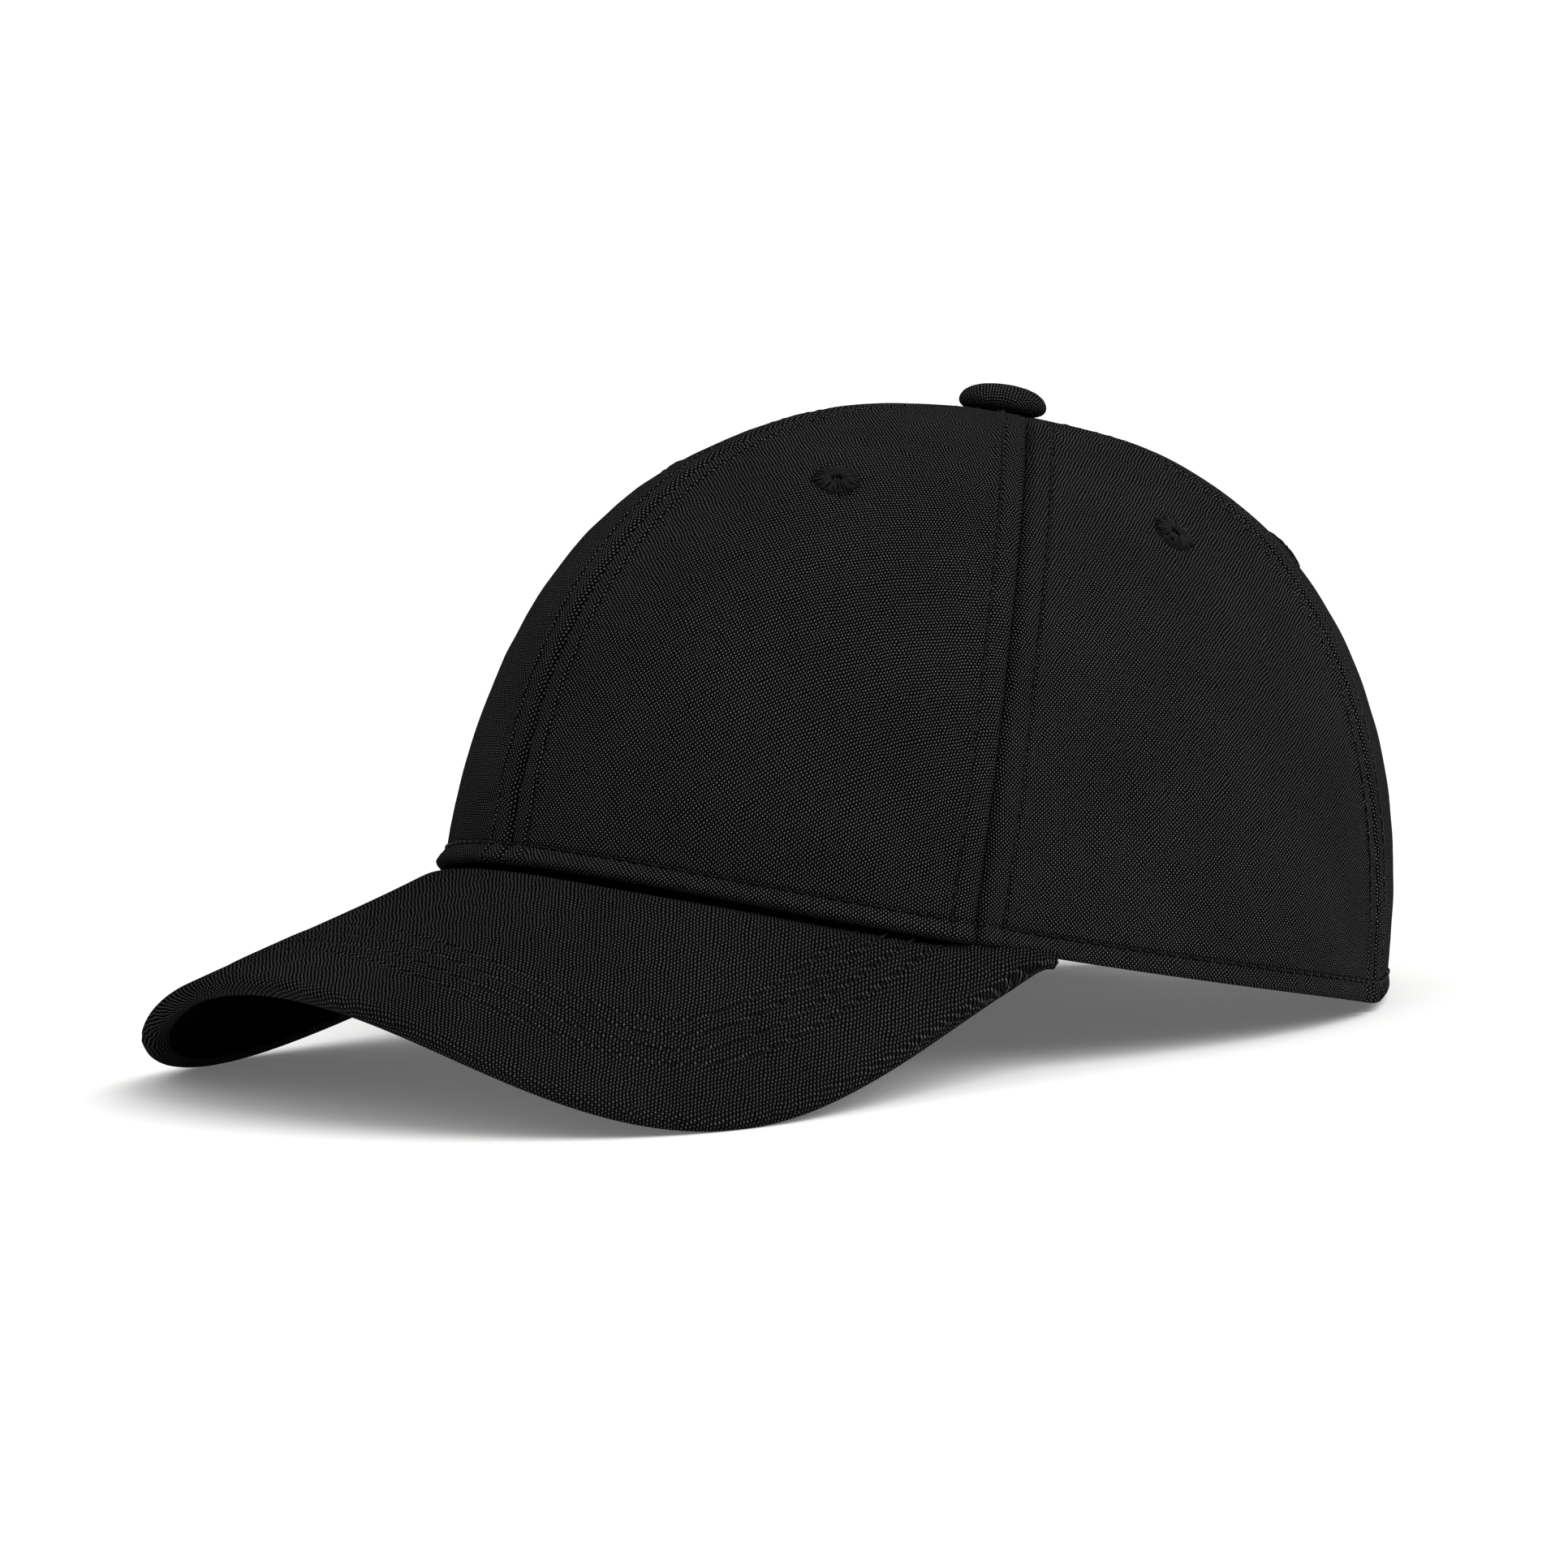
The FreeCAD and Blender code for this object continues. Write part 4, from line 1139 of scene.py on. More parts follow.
@dataclass
class Eyelets:
    """Six buttonhole-stitched air holes: radial threads over a ring of padding."""

    wardrobe: Wardrobe
    radius: float = 4.9
    bore: float = 1.15
    threads: int = 54
    thread_radius: float = 0.25
    height: float = 0.55
    through: float = 1.5

    def threads_round(self, seed: int, lift: float, turned_in: bool) -> tuple[Array, Array]:
        """Builds the threads of one face in the eyelet's own frame.

        Args:
            seed: Seed of their small differences.
            lift: Height of the face that they lie on.
            turned_in: Whether the face looks to the inside of the cap.

        Returns:
            Vertices and faces.
        """
        draw = np.random.default_rng(seed)
        sides, rings = 6, 12
        turn = np.linspace(0, 2 * pi, self.threads, endpoint=False) + draw.normal(0, 0.03, self.threads)
        reach = self.radius + draw.normal(-0.15, 0.3, self.threads)
        twist = draw.normal(0.0, 0.06, self.threads)
        plump = self.thread_radius * draw.uniform(0.8, 1.15, self.threads)
        t = np.linspace(0, 1, rings)[None, :]
        out = self.bore + (reach[:, None] - self.bore) * np.clip((t - 0.12) / 0.88, 0, 1) ** 1.1
        rise = self.height * np.sin(pi * np.clip((t + 0.22) / 1.22, 0, 1)) ** 0.7 - 0.35 * (t > 0.97)
        rise = (np.where(t < 0.12, -self.through / 2 * (0.12 - t) / 0.12, rise)
                + draw.uniform(-0.05, 0.08, self.threads)[:, None])
        angle = turn[:, None] + twist[:, None] * t
        flip = -1 if turned_in else 1
        centre = np.stack([out * np.cos(angle), out * np.sin(angle), (lift + rise) * flip], axis=-1)
        along = unit(np.gradient(centre, axis=1))
        side = unit(np.cross(along, np.broadcast_to([0.0, 0.0, 1.0], along.shape) + 1e-4))
        up = np.cross(side, along)
        ring = np.linspace(0, 2 * pi, sides, endpoint=False)[None, None, :, None]
        swell = 0.45 + 0.55 * np.sin(pi * np.clip(t + 0.12, 0, 1)) ** 0.4
        girth = (plump[:, None] * swell)[:, :, None, None]
        spokes = side[:, :, None] * np.cos(ring) + up[:, :, None] * np.sin(ring)
        points = centre[:, :, None] + girth * spokes
        index = np.arange(rings * sides).reshape(rings, sides)
        index = np.concatenate([index, index[:, :1]], axis=1)
        faces = quads(index)
        step = (np.arange(self.threads) * rings * sides)[:, None, None]
        return points.reshape(-1, 3), (faces[None] + step).reshape(-1, 4)

    def padding(self, lift: float) -> tuple[Array, Array]:
        """Builds the low ring under the threads, through the cloth from face to face.

        Args:
            lift: Height of its top above the crown's outside.

        Returns:
            Vertices and faces.
        """
        under = -lift - self.through
        profile = np.array([(self.radius - 0.5, lift), (self.radius - 1.2, lift + 0.3),
                            (self.bore + 0.8, lift + 0.4), (self.bore + 0.25, lift + 0.1),
                            (self.bore + 0.2, under), (self.radius - 1.5, under - 0.1),
                            (self.radius - 1.2, under + 0.1)])
        steps, rings = 48, len(profile)
        turn = np.linspace(0, 2 * pi, steps, endpoint=False)[:, None]
        points = np.stack([profile[:, 0] * np.cos(turn), profile[:, 0] * np.sin(turn),
                           np.broadcast_to(profile[:, 1], (steps, rings))], axis=-1)
        index = np.arange(steps * rings).reshape(steps, rings)
        index = np.concatenate([index, index[:1]], axis=0)
        index = np.concatenate([index, index[:, :1]], axis=1)
        return points.reshape(-1, 3), quads(index, turned=True)

    def build(self) -> None:
        """Builds the six eyelets."""
        for number, (word, place) in enumerate(EYELET_PLACES.items()):
            phi, psi = radians(place[0]), radians(place[1])
            normal = CROWN.normal(phi, psi)
            along = unit(np.cross([0.0, 0.0, 1.0], normal))
            axes = np.stack([along, np.cross(normal, along), normal])
            for side in Side:
                seed = 40 + number * 2 + (side is Side.RIGHT)
                parts = [self.padding(0.05), self.threads_round(seed, 0.15, False),
                         self.threads_round(seed + 20, self.through + 0.1, True)]
                points, faces, start = [], [], 0
                for part_points, part_faces in parts:
                    points.append(part_points)
                    faces.append(part_faces + start)
                    start += len(part_points)
                local = np.concatenate(points) @ axes + CROWN.on(phi, psi)
                local = local * np.array([side.value, 1, 1])
                name = f"eyelet_{word}_{side.word}"
                piece = make_piece(name, local, np.concatenate(faces)[:, ::side.value])
                finish_piece(piece, self.wardrobe.silk, "eyelet_thread", name)


@dataclass
class Button:
    """Covered button: canvas gathered over a pressed shell, held by a tack."""

    wardrobe: Wardrobe
    radius: float = 9.2
    height: float = 6.0
    forward: float = 6.0
    seat: float = 0.2
    pleats: int = 34

    def skin(self, profile: list[tuple[float, float]], name: str, thickness: float) -> bpy.types.Object:
        """Turns a profile into a closed skin, gathered in pleats at the sides.

        Args:
            name: Name of the piece.
            profile: Radius and height of its points, from the middle outwards.
            thickness: Thickness of the skin.

        Returns:
            The new object.
        """
        profile = np.array(profile)
        along = run_length(profile, 0)
        places = np.linspace(0, along[-1], 70)
        radius, height = (np.interp(places, along, profile[:, k]) for k in (0, 1))
        kernel = np.ones(5) / 5
        smoothed = np.convolve(radius, kernel, "valid"), np.convolve(height, kernel, "valid")
        radius[2:-2], height[2:-2] = smoothed
        turn = np.linspace(0, 2 * pi, 240, endpoint=False)
        share = smooth_step(0.45, 0.95, places / along[-1])
        draw = np.random.default_rng(5)
        wave = np.sin(self.pleats * turn + 0.7 * np.sin(3 * turn + draw.uniform(0, 6)))
        radius = radius[None] + 0.06 * share[None] * wave[:, None]
        points = np.stack([radius * np.cos(turn)[:, None], radius * np.sin(turn)[:, None],
                           np.broadcast_to(height[None], radius.shape)], axis=-1)
        lean = np.gradient(points, axis=1)
        tangent = np.stack([-np.sin(turn), np.cos(turn), 0 * turn], axis=-1)[:, None]
        normal = unit(np.cross(lean, tangent + 0 * lean))
        normal = np.where(normal[:, :1, 2:] < 0, -normal, normal)
        inner = points - normal * thickness
        count, rings = points.shape[:2]
        index = np.arange(count * rings).reshape(count, rings)
        index = np.concatenate([index, index[:1]])
        outer_faces = quads(index, turned=True)
        inner_faces = outer_faces[:, ::-1] + count * rings
        edge = index[:, -1]
        rim = np.stack([edge[:-1], edge[:-1] + count * rings, edge[1:] + count * rings, edge[1:]], axis=-1)
        faces = np.concatenate([outer_faces, inner_faces, rim])
        both = np.concatenate([points.reshape(-1, 3), inner.reshape(-1, 3)])
        reach = np.linspace(0, along[-1], rings)[None, :, None]
        cloth = reach * np.stack([np.cos(turn), np.sin(turn)], axis=-1)[:, None]
        cloth = np.tile(cloth.reshape(-1, 2), (2, 1))
        base = np.array([0, CROWN.apex_y - self.forward, CROWN.height + self.seat])
        return make_piece(name, both + base, faces, cloth)

    def build(self) -> None:
        """Builds the cover and dresses the hidden metal."""
        r, h = self.radius, self.height
        cover = [(0.15, h), (r * 0.3, h - 0.12), (r * 0.55, h - 0.5), (r * 0.75, h - 1.15),
                 (r * 0.9, h - 2.1), (r * 0.98, h - 3.2), (r, h - 4.0), (r * 0.97, h - 4.9),
                 (r * 0.88, h - 5.6), (r * 0.74, h - 5.95)]
        piece = self.skin(cover, "button_cover", 0.5)
        finish_piece(piece, self.wardrobe.canvas, "button_fabric", "button_cover")
        for node in ("button_shell", "button_tack", "button_washer"):
            dress_node(node, self.wardrobe.tin)


def dress_node(node: str, material: bpy.types.Material) -> None:
    """Gives a CAD node a better finish, its shape kept.

    Args:
        node: Name of the node.
        material: Its finish.
    """
    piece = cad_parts[node]
    if not piece.material_slots:
        piece.data.materials.append(material)
    for place in piece.material_slots:
        place.material = material
    LOG.info("%s: dressed", node)


# ---- Visor --------------------------------------------------------------------------------
@dataclass
class Visor:
    """Curved visor: a board between two covers, its edge wrapped, four rows of stitching on top."""

    wardrobe: Wardrobe
    rows: tuple[float, ...] = (15.0, 19.3, 23.6, 27.9)
    thickness: float = 3.4
    cover: float = 0.5
    wrap: float = 2.6           # how far the top cover turns under
    hem_gap: float = 2.3        # shadow gap between its top and the crown's rolled hem
    wing_reach: float = 30.0    # length of the wing's end that lifts
    wing_rise: float = 1.3      # how far the wing's end lifts to tuck in under the hem
    grain: tuple[float, float] = (0.58, 0.81)       # across the cords, in plan: cut on the bias
    lines: int = 640
    steps: int = 210
    thread: Thread = Thread(pitch=3.2)

    def surface(self) -> tuple[Array, Array, Array]:
        """Returns share, across and the smooth top face on a grid."""
        share = np.sin(np.linspace(-1, 1, self.lines) * radians(80)) / sin(radians(80))
        across = np.linspace(0, 1, self.steps)
        share, across = np.meshgrid(share, across, indexing="ij")
        return share, across, VISOR.on(share, across)

    @staticmethod
    def taper(share: Array, reach: float = 13.0, least: float = 0.06) -> Array:
        """Fades a measure out towards the ends of the wings.

        Args:
            share: Places round the hem, from -1 to 1.
            reach: Millimetres from a wing's end where the measure is whole.
            least: What is left of it at the end.

        Returns:
            The measure's share at each place.
        """
        lines = np.linspace(-1, 1, 801)
        along = run_length(VISOR.on(lines, np.ones(801)), 0)
        from_end = np.interp(share, lines, np.minimum(along, along[-1] - along))
        return least + (1 - least) * smooth_step(0.0, reach, from_end)

    def edge_distance(self, points: Array) -> Array:
        """Measures how far points of the top face lie from the outer edge.

        Args:
            points: Grid of points.

        Returns:
            Distance of each one.
        """
        edge = VISOR.on(np.linspace(-1, 1, 900), np.ones(900))
        flat = points.reshape(-1, 3)
        best = np.full(len(flat), 1e9)
        for start in range(0, len(edge), 60):
            part = edge[None, start:start + 60] - flat[:, None]
            best = np.minimum(best, np.einsum("ijk,ijk->ij", part, part).min(axis=1))
        return np.sqrt(best).reshape(points.shape[:-1])

    def build_top(self) -> tuple[Array, Array]:
        """Builds the top cover, with its edge turned round the board.

        Returns:
            The smooth top face and its distance from the edge, for the stitching.
        """
        share, across, top = self.surface()
        distance = self.edge_distance(top)
        normal, out = VISOR.frame_at(share, across)
        from_hem = np.linalg.norm(top - top[:, :1], axis=-1)
        relief = 0.10 * ripple(21, top[..., 0], top[..., 1], low=0.03, high=0.15)
        for row in self.rows:
            relief = relief - 0.34 * dip(distance, row, 0.45)
        inside = 1 - smooth_step(self.rows[-1], self.rows[-1] + 3, distance)
        puff = smooth_step(self.rows[0] - 3, self.rows[0], distance) * inside
        relief = relief + 0.14 * puff
        clear = self.taper(share, self.wing_reach, 0.0)
        relief = relief - self.hem_gap * clear * np.exp(-(from_hem / 2.6) ** 2)
        relief = relief + self.wing_rise * (1 - clear)
        bend = self.thickness / 2 * self.taper(share[:, :1])
        shoulder = bend - np.sqrt(np.maximum(bend ** 2 - np.maximum(bend - distance, 0) ** 2, 0))
        face = top + normal * (relief - shoulder)[..., None]
        turn = np.linspace(pi / 2, pi, 9)[1:]
        edge, edge_normal, edge_out = top[:, -1:], normal[:, -1:], out[:, -1:]
        bend = bend[..., None]
        bend_points = (edge - edge_out * bend + edge_out * bend * np.sin(turn)[None, :, None]
                       - edge_normal * bend * (1 - np.cos(turn))[None, :, None])
        under = (np.linspace(0, self.wrap, 5)[1:])[None, :, None] * self.taper(share[:, :1])[..., None]
        under_points = edge - edge_out * (bend + under) - edge_normal * bend * 2
        return self.finish_top(face, bend_points, under_points), distance, top

    def finish_top(self, face: Array, bend: Array, under: Array) -> Array:
        """Joins the face, the bend and the turned-under strip into the top cover.

        Args:
            face: Grid of the face.
            bend: Grid of the bend round the edge.
            under: Grid of the strip turned under.

        Returns:
            The whole outer grid.
        """
        lip = face[:, :1] - np.array([0.0, 0.0, 1.0])
        outer = np.concatenate([lip, face, bend, under], axis=1)
        back = outer + grid_normals(outer) * self.cover
        across, along = self.grain
        level = outer[..., :2].copy()
        last = face.shape[1] - 6        # from here on the cloth is rolled out flat past the edge
        rolled = run_length(outer, 1)
        rolled = rolled[:, last:] - rolled[:, last:last + 1]
        heading = unit(level[:, last:last + 1] - level[:, last - 3:last - 2])
        level[:, last:] = level[:, last:last + 1] + heading * rolled[..., None]
        straight = np.stack([level[..., 0] * across + level[..., 1] * along,
                             level[..., 0] * along - level[..., 1] * across], axis=-1)
        piece = make_sheet("visor_top_cover", outer, back, straight)
        finish_piece(piece, self.wardrobe.ribbed, "visor_fabric", "visor_top_cover")
        return outer

    def build_under(self) -> None:
        """Builds the under cover, from inside the wrapped edge to behind the hem."""
        share = np.sin(np.linspace(-1, 1, 260) * radians(80)) / sin(radians(80))
        across = np.linspace(0, 1, 70)
        share, across = np.meshgrid(share, across, indexing="ij")
        inset = self.thickness / 2 + 0.9
        thin = self.taper(share)
        points = VISOR.below(share, across, inset, (self.thickness - 0.25) * thin)
        length = np.linalg.norm(points[:, -1] - points[:, 0], axis=-1)[:, None]
        to_edge = (1 - across) * length
        points[..., 2] += 0.5 * np.exp(-to_edge / 0.8)
        tucked = points[:, :1]
        phi = VISOR.end_angle * share[:, :1]
        inward = -CROWN.normal(phi, np.zeros_like(phi))
        inward[..., 2] = 0
        hidden = [tucked + inward * 2.4 + np.array([0, 0, rise]) for rise in (4.2, 2.4, 1.0)]
        hidden.append(tucked + inward * 1.5 + np.array([0, 0, 0.35]))
        outer = np.concatenate(hidden + [points], axis=1)
        back = outer - grid_normals(outer) * self.cover
        straight = np.stack([outer[..., 0], outer[..., 1]], axis=-1)
        piece = make_sheet("visor_under_cover", outer, back, straight)
        # Its finish is the canvas darkened as painted shade under the visor.
        finish_piece(piece, self.wardrobe.under, "visor_under_fabric", "visor_under_cover")

    def build_board(self) -> None:
        """Builds the board between the covers."""
        share, across = np.meshgrid(np.linspace(-0.99, 0.99, 160), np.linspace(0.03, 0.99, 40), indexing="ij")
        thin = self.taper(share)
        upper = VISOR.below(share, across, 2.0, 0.9 * thin)
        lower = VISOR.below(share, across, 2.0, 2.5 * thin)
        piece = make_sheet("visor_board", upper, lower, upper[..., :2])
        finish_piece(piece, self.wardrobe.board, "board_plastic", "visor_board")

    def stitch_paths(self, top: Array, distance: Array) -> list[tuple[Array, Array]]:
        """Finds the rows of stitching as lines at a set distance from the edge.

        Args:
            top: Grid of the top face.
            distance: Distance of each of its points from the edge.

        Returns:
            The points of each row, with the face's normals.
        """
        normals = grid_normals(top)
        if normals[top.shape[0] // 2, top.shape[1] // 2, 2] < 0:
            normals = -normals
        paths = []
        for row in self.rows:
            points, outs = [], []
            for line in range(top.shape[0]):
                far = distance[line][::-1]
                if far.max() < row + 0.4:
                    continue
                place = int(np.argmax(far > row))
                share = (row - far[place - 1]) / (far[place] - far[place - 1])
                a, b = top[line, ::-1][place - 1], top[line, ::-1][place]
                points.append(a + (b - a) * share)
                outs.append(normals[line, ::-1][place])
            points, outs = np.array(points), np.array(outs)
            paths.append((points + outs * 0.02, outs))
        return paths

    def build(self) -> None:
        """Builds the visor."""
        _, distance, top = self.build_top()
        self.build_under()
        stitches = make_stitches("visor_stitching", self.thread, self.stitch_paths(top, distance))
        finish_piece(stitches, self.wardrobe.thread, "visor_fabric")
        self.build_board()


# ---- Inside -------------------------------------------------------------------------------
@dataclass
class InnerTrim:
    """Stiffeners, seam tapes, the sweatband and the binding of the rear opening."""

    wardrobe: Wardrobe
    tape_width: float = 14.0
    tape_depth: float = 1.7
    tape_clear: float = 17.5
    band_height: float = 32.0
    band_end: float = 146.5
    band_depth: float = 2.95
    band_radius: float = 92.0   # of the sweatband, on average
    arch: tuple[float, float] = (Crown.arch_half_width, Crown.arch_height)
    binding: float = 8.0
    thread: Thread = Thread(pitch=3.3)

    @staticmethod
    def lay(name: str, phi: Array, psi: Array, out: Array, thickness: float) -> bpy.types.Object:
        """Lays a sheet on the inside of the crown.

        Args:
            name: Name of the piece.
            phi: Angles on its grid.
            psi: Heights on its grid.
            out: How far its outer face lies off the crown's outside.
            thickness: Thickness.

        Returns:
            The new object.
        """
        near, far = CROWN.off(phi, psi, out), CROWN.off(phi, psi, out - thickness)
        across, along = run_length(far, 1), run_length(far, 0)
        middle = across.shape[1] // 2
        return make_sheet(name, far, near, np.stack([across - across[:, middle:middle + 1], along], axis=-1))

    def buckram(self) -> None:
        """Builds the two stiffeners of the front."""
        for side in Side:
            phi = np.linspace(radians(0.6), radians(64.7), 60)
            psi = np.linspace(0, 1, 90)
            phi, psi = np.meshgrid(phi, psi)
            low = CROWN.psi_at(phi, np.full(phi.shape, 6.0))
            psi = low + (radians(80) - low) * psi
            node = f"front_buckram_{side.word}"
            piece = self.lay(node, phi * side.value, psi, np.full(phi.shape, -0.85), 0.5)
            finish_piece(piece, self.wardrobe.buckram, "buckram", node)

    def tape(self, name: str, seam: float, foot: float) -> list[tuple[Array, Array]]:
        """Builds one seam tape.

        Args:
            name: Name of the piece.
            seam: Angle of the seam, in degrees.
            foot: Height of its lower end.

        Returns:
            Paths of the two rows of stitching that hold it.
        """
        seam = radians(seam)
        search = np.linspace(0, radians(89), 900)
        line = CROWN.on(seam, search)
        radius = np.hypot(line[:, 0], line[:, 1] - CROWN.apex_y)
        top = search[int(np.argmax(radius < self.tape_clear))]
        psi = np.linspace(float(CROWN.psi_at(seam, foot)), top, 110)
        across = np.linspace(-0.5, 0.5, 29) * self.tape_width
        psi_grid, across_grid = np.meshgrid(psi, across, indexing="ij")
        phi = seam + across_grid / CROWN.girth(seam, psi_grid)
        edge = self.tape_width / 2 - np.abs(across_grid)
        out = -self.tape_depth + 0.25 * np.exp(-edge / 0.6) + 0.3 * dip(np.abs(across_grid), 5.5, 0.7)
        out = out - 0.25 * dip(across_grid, 0, 2.6)
        piece = self.lay(name, phi, psi_grid, out, 0.45)
        finish_piece(piece, self.wardrobe.tape, "seam_tape", name)
        paths = []
        for place in (-5.5, 5.5):
            phi = seam + place / CROWN.girth(seam, psi)
            points = CROWN.off(phi, psi, np.full(psi.shape, -self.tape_depth - 0.2))
            paths.append((points, -CROWN.normal(phi, psi)))
        return paths

    def sweatband(self) -> list[tuple[Array, Array]]:
        """Builds the sweatband and its interlining.

        Returns:
            Paths of its stitching.
        """
        phi = np.linspace(-radians(self.band_end), radians(self.band_end), 560)
        height = np.concatenate([np.linspace(0.9, 4, 14), np.linspace(4, 28, 22)[1:],
                                 np.linspace(28, 32, 14)[1:]])
        height, phi = np.meshgrid(height, phi, indexing="ij")
        psi = CROWN.psi_at(phi, height)
        along = phi * self.band_radius
        fold = 0.45 * np.exp(-(self.band_height - height) / 0.5) + 0.45 * np.exp(-(height - 0.9) / 0.5)
        rows = 0.28 * dip(height, 3.0, 0.6) + 0.28 * dip(height, 29.0, 0.6)
        wave = (0.16 * ripple(31, along, height, low=0.05, high=0.3) * smooth_step(2, 8, height)
                * (1 - smooth_step(26, 30, height)))
        piece = self.lay("sweatband", phi, psi, -self.band_depth + fold * 0.8 + rows + wave, 0.6)
        finish_piece(piece, self.wardrobe.sweat, "sweatband_fabric", "sweatband")
        end = radians(self.band_end - 1.0)
        phi = np.linspace(-end, end, 300)
        height, phi = np.meshgrid(np.linspace(2.0, 31.0, 20), phi, indexing="ij")
        piece = self.lay("sweatband_interlining", phi, CROWN.psi_at(phi, height),
                         np.full(phi.shape, -2.3), 0.4)
        finish_piece(piece, self.wardrobe.felt, "interlining", "sweatband_interlining")
        paths = []
        phi = np.linspace(-radians(self.band_end - 0.6), radians(self.band_end - 0.6), 1500)
        for place in (3.0, 29.0):
            psi = CROWN.psi_at(phi, np.full(phi.shape, place))
            points = CROWN.off(phi, psi, np.full(phi.shape, -self.band_depth - 0.36))
            paths.append((points, -CROWN.normal(phi, psi)))
        return paths

    def bind_arch(self) -> None:
        """Builds the tape that binds the rear opening on the inside."""
        turn = np.linspace(0.06, pi - 0.06, 180)
        offset = np.linspace(0.4, self.binding, 20)
        turn, offset = np.meshgrid(turn, offset, indexing="ij")
        phi, psi = CROWN.through((self.arch[0] + offset) * np.cos(turn),
                                 (self.arch[1] + offset) * np.sin(turn))
        rows = 0.2 * dip(offset, 2.6, 0.5) + 0.2 * dip(offset, 7.2, 0.5)
        near, far = CROWN.off(phi, psi, -1.75 + rows), CROWN.off(phi, psi, -2.15 + rows)
        flat = np.stack([run_length(far, 0), run_length(far, 1)], axis=-1)
        piece = make_sheet("arch_binding", far, near, flat)
        finish_piece(piece, self.wardrobe.tape, "seam_tape", "arch_binding")

    def build(self) -> None:
        """Builds everything inside the crown."""
        self.buckram()
        paths = self.tape("front_seam_tape", 0.0, 4.0)
        for side in Side:
            paths += self.tape(f"front_side_tape_{side.word}", side.value * FRONT_SIDE_SEAM, 4.0)
            paths += self.tape(f"rear_side_tape_{side.word}", side.value * REAR_SIDE_SEAM, 4.0)
        paths += self.tape("back_seam_tape", 180.0, self.arch[1] + self.binding + 2)
        stitches = make_stitches("tape_stitching", self.thread, paths)
        finish_piece(stitches, self.wardrobe.thread, "seam_tape")
        stitches = make_stitches("sweatband_stitching", self.thread, self.sweatband())
        finish_piece(stitches, self.wardrobe.thread, "sweatband_fabric")
        self.bind_arch()


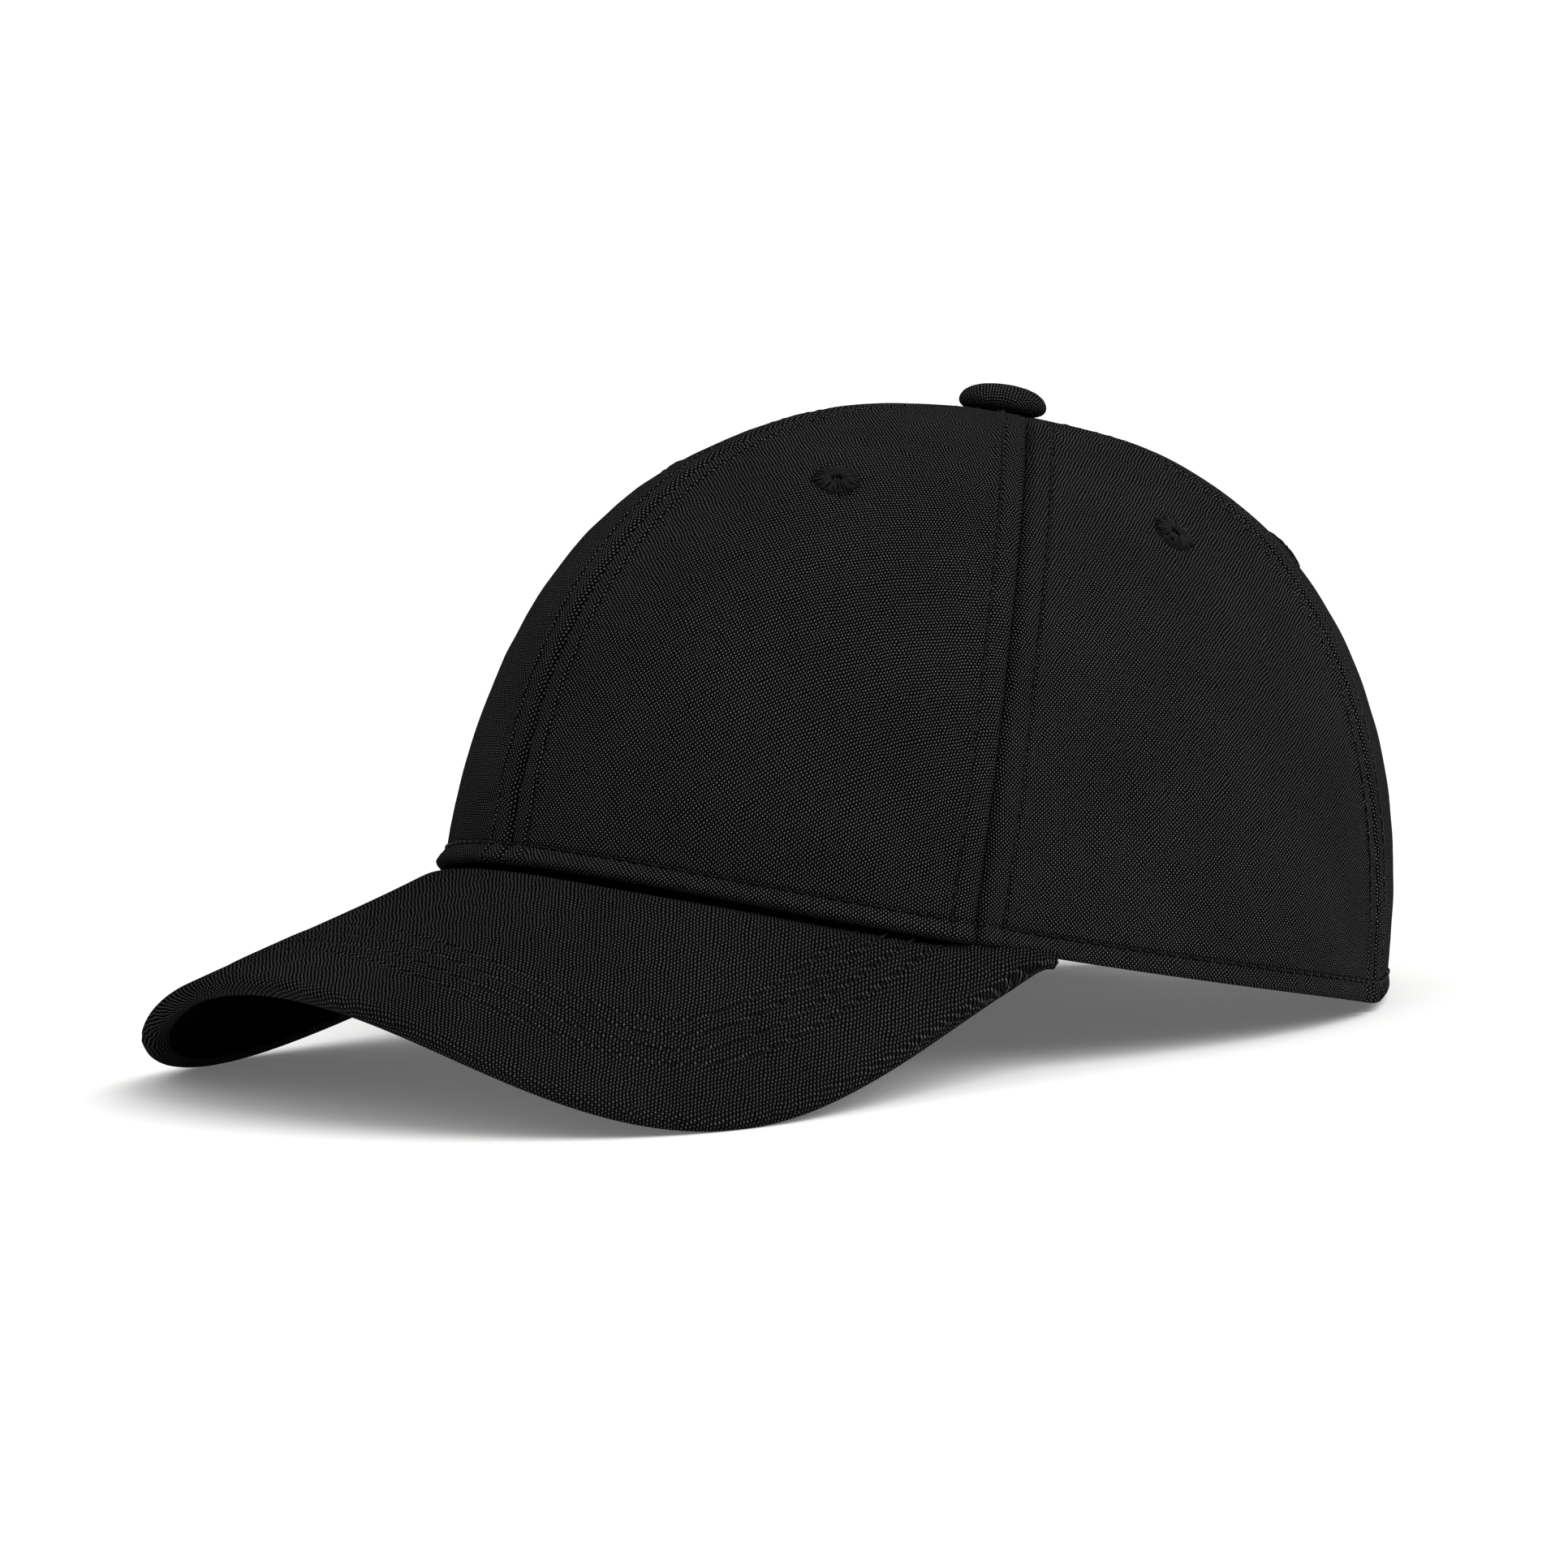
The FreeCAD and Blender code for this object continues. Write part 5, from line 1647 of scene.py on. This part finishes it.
# ---- Strap closure ------------------------------------------------------------------------
@dataclass
class StrapClosure:
    """Cloth strap through a flip-clasp buckle at the back."""

    wardrobe: Wardrobe
    half_width: float = 10.0
    thickness: float = 0.9
    middle: float = 14.9
    angle: float = radians(170)
    back_radius: float = Crown.back_radius
    left_end: float = 33.0
    right_end: float = -67.0
    frame_layer: tuple[float, float] = (2.4, 3.4)
    slot_end: float = 9.6
    edge_stitch: float = 2.2
    bevel: float = 0.28
    thread: Thread = Thread(pitch=3.0)

    def at(self, u: Array, v: Array, w: Array) -> tuple[Array, Array]:
        """Returns points and normals: u along the strap, v up, w out of the crown's face."""
        phi = self.angle - u / self.back_radius
        psi = CROWN.psi_at(phi, self.middle + v)
        return CROWN.off(phi, psi, w), CROWN.normal(phi, psi)

    def centre_line(self, path: list[tuple[float, float]]) -> Array:
        """Draws a smooth line through some points.

        Args:
            path: The points, as u and w.

        Returns:
            Points of the line, close together.
        """
        points = np.array(path)
        knots = run_length(points, 0)
        before, after = 2 * points[0] - points[1], 2 * points[-1] - points[-2]
        padded = np.concatenate([[before], points, [after]])
        places = np.arange(0, knots[-1], 0.45)
        line = []
        for place in places:
            k = min(int(np.searchsorted(knots, place, "right")) - 1, len(points) - 2)
            t = (place - knots[k]) / (knots[k + 1] - knots[k])
            a, b, c, d = padded[k:k + 4]
            line.append(0.5 * (2 * b + (c - a) * t + (2 * a - 5 * b + 4 * c - d) * t * t
                               + (3 * b - a - 3 * c + d) * t ** 3))
        return np.array(line)

    def strap(self, name: str, path: list[tuple[float, float]]) -> list[tuple[Array, Array]]:
        """Builds one strap.

        Args:
            name: Name of the piece and of the node that it replaces.
            path: Its centre line as (u, w) points.

        Returns:
            Paths of its edge stitching.
        """
        line = self.centre_line(path)
        tangent = unit(np.gradient(line, axis=0))
        normal = np.stack([-tangent[:, 1], tangent[:, 0]], axis=-1)
        v = np.concatenate([np.linspace(-1, -0.7, 16), np.linspace(-0.7, 0.7, 22)[1:],
                            np.linspace(0.7, 1, 16)[1:]])
        v = v * self.half_width
        edge = self.half_width - np.abs(v)
        crown = 0.12 * dip(edge, self.edge_stitch, 0.55) + 0.3 * np.exp(-edge / 0.35)
        half = self.thickness / 2
        faces = []
        for sign in (1, -1):
            lift = sign * (half - crown)[None, :]
            u = line[:, 0][:, None] + normal[:, 0][:, None] * lift
            w = line[:, 1][:, None] + normal[:, 1][:, None] * lift
            faces.append(self.at(u, np.broadcast_to(v[None], u.shape), w)[0])
        flat = np.stack(np.broadcast_arrays(v[None, :], run_length(line, 0)[:, None]), axis=-1)
        finish_piece(make_sheet(name, faces[0], faces[1], flat), self.wardrobe.canvas, "strap_fabric", name)
        paths = []
        for place in (-1, 1):
            for sign in (1, -1):
                lift = sign * (half - 0.1)
                u, w = line[:, 0] + normal[:, 0] * lift, line[:, 1] + normal[:, 1] * lift
                height = np.full(len(line), place * (self.half_width - self.edge_stitch))
                points, out = self.at(u, height, w)
                paths.append((points, out * sign))
        return paths

    def metal(self, node: str, body: str) -> None:
        """Copies a pressed metal node with its edges rounded over.

        Args:
            node: Name of the node.
            body: CAD body that it rides on.
        """
        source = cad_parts[node]
        copy = bpy.data.objects.new(node + "_pressed", source.data.copy())
        bpy.context.scene.collection.objects.link(copy)
        work = bmesh.new()
        work.from_mesh(copy.data)
        bmesh.ops.remove_doubles(work, verts=work.verts, dist=0.00001)
        bmesh.ops.dissolve_limit(work, angle_limit=radians(2), verts=work.verts, edges=work.edges)
        work.to_mesh(copy.data)
        work.free()
        copy.data.shade_smooth()
        bevel = copy.modifiers.new("rounded", "BEVEL")
        bevel.width, bevel.segments, bevel.angle_limit = self.bevel * MM, 3, radians(40)
        bevel.harden_normals = False
        finish_piece(copy, self.wardrobe.gunmetal, "buckle_metal", node, body=body)

    def build(self) -> None:
        """Builds the straps and the buckle."""
        half = self.thickness / 2
        rest = -1.4 - half
        over = rest + 1.0
        long_path = [(self.right_end, rest), (-50, rest), (-34, rest), (-20, rest), (-8, rest),
                     (1.0, rest), (4.5, rest + 0.12), (8.0, over), (12.5, over), (16.5, rest + 0.3),
                     (20.0, rest), (24, rest), (self.left_end, rest)]
        top, bottom = -self.frame_layer[0] + 0.1 + half, -self.frame_layer[1] - 0.1 - half
        turn = self.slot_end - 0.1 - half
        low = bottom + self.thickness + 0.15
        loop_path = [(self.left_end, bottom), (24, bottom), (16, bottom), (11.5, bottom), (10.1, bottom),
                     (turn, bottom + 0.75), (turn, top - 0.75), (10.1, top), (11.8, top),
                     (15.5, (top + low) / 2), (19.0, low), (24, low), (self.left_end, low)]
        paths = self.strap("adjuster_strap", long_path)
        paths += self.strap("buckle_loop_strap", loop_path)
        stitches = make_stitches("strap_stitching", self.thread, paths)
        finish_piece(stitches, self.wardrobe.thread, "strap_fabric")
        self.metal("buckle_frame", "cap")
        self.metal("buckle_lever", "lever")
        dress_node("buckle_pin", self.wardrobe.tin)


# ---- Studio -------------------------------------------------------------------------------
@dataclass
class Studio:
    """White floor, soft lights and the camera."""

    camera_at: tuple[float, float, float] = (1.49242, -1.19570, 0.24961)
    azimuth: float = radians(51.41)
    elevation: float = radians(5.85)
    roll: float = radians(-2.69)
    lens: float = 215.68
    floor_hex: str = "#f4f4f3"
    sky: float = 0.55
    table_glow: float = 0.12    # the table is lit a little from below

    def floor(self) -> None:
        """Lays a wide pale floor."""
        size = 30.0
        corners = [(-size, -size, 0), (size, -size, 0), (size, size, 0), (-size, size, 0)]
        mesh = bpy.data.meshes.new("studio_floor")
        mesh.from_pydata(corners, [], [(0, 1, 2, 3)])
        floor = bpy.data.objects.new("studio_floor", mesh)
        bpy.context.scene.collection.objects.link(floor)
        material = bpy.data.materials.new("painted_board_matt_white")
        material.use_nodes = True
        shader = material.node_tree.nodes["Principled BSDF"]
        shader.inputs["Base Color"].default_value = linear(self.floor_hex)
        shader.inputs["Roughness"].default_value = 0.85
        shader.inputs["Emission Color"].default_value = (1, 1, 1, 1)
        shader.inputs["Emission Strength"].default_value = self.table_glow
        mesh.materials.append(material)

    def light(self, name: str, place: tuple[float, float, float], spread: float, strength: float) -> None:
        """Hangs a very large and distant soft light.

        Args:
            name: Name of the light.
            place: Point that it shines from, towards the middle of the floor.
            spread: How wide it looks from the cap, in degrees.
            strength: Light that falls on a sheet turned to it.
        """
        lamp = bpy.data.lights.new(name, "SUN")
        lamp.angle, lamp.energy = radians(spread), strength
        hung = bpy.data.objects.new(name, lamp)
        bpy.context.scene.collection.objects.link(hung)
        hung.location = place
        hung.rotation_euler = (-Vector(place)).to_track_quat("-Z", "Y").to_euler()

    def camera(self) -> None:
        """Sets up the camera, rolled a little to one side."""
        back = Vector((sin(self.azimuth) * cos(self.elevation), -cos(self.azimuth) * cos(self.elevation),
                       sin(self.elevation)))
        level = Vector((0, 0, 1)).cross(back).normalized()
        right = level * cos(self.roll) + back.cross(level) * sin(self.roll)
        up = back.cross(right)
        data = bpy.data.cameras.new("studio_camera")
        data.sensor_width, data.lens = 36.0, self.lens
        data.clip_end = 100.0
        camera = bpy.data.objects.new("studio_camera", data)
        turned = Matrix((right, up, back)).transposed().to_4x4()
        camera.matrix_world = Matrix.Translation(self.camera_at) @ turned
        bpy.context.scene.collection.objects.link(camera)
        bpy.context.scene.camera = camera

    def build(self) -> None:
        """Builds the whole studio."""
        self.floor()
        world = bpy.data.worlds.new("studio_white")
        world.use_nodes = True
        tree = world.node_tree
        tree.nodes.clear()
        seen = add_node(tree, "ShaderNodeLightPath").outputs["Is Camera Ray"]
        # The backdrop is plain white to look at, and lights the cap with less than that.
        light = add_node(tree, "ShaderNodeBackground", {"Color": (1, 1, 1, 1), "Strength": self.sky})
        plain = add_node(tree, "ShaderNodeBackground", {"Color": (1, 1, 1, 1), "Strength": 1.0})
        both = add_node(tree, "ShaderNodeMixShader", {0: seen, 1: light.outputs[0], 2: plain.outputs[0]})
        add_node(tree, "ShaderNodeOutputWorld", {"Surface": both.outputs[0]})
        bpy.context.scene.world = world
        bpy.context.scene.view_settings.view_transform = "Standard"
        self.light("key", (1.5, 0.2, 1.5), 50.0, 2.4)
        self.light("front_fill", (0.2, -1.5, 2.2), 60.0, 0.5)
        self.camera()


def main() -> None:
    """Builds every piece of the cap, then the studio."""
    logging.basicConfig(level=logging.INFO, format="%(message)s")
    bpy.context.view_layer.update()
    wardrobe = Wardrobe()
    for part in (Crown(wardrobe), Eyelets(wardrobe), Button(wardrobe), Visor(wardrobe), InnerTrim(wardrobe),
                 StrapClosure(wardrobe), Studio()):
        part.build()
        LOG.info("%s done", type(part).__name__)
    bpy.context.view_layer.update()


if __name__ == "__main__":
    main()
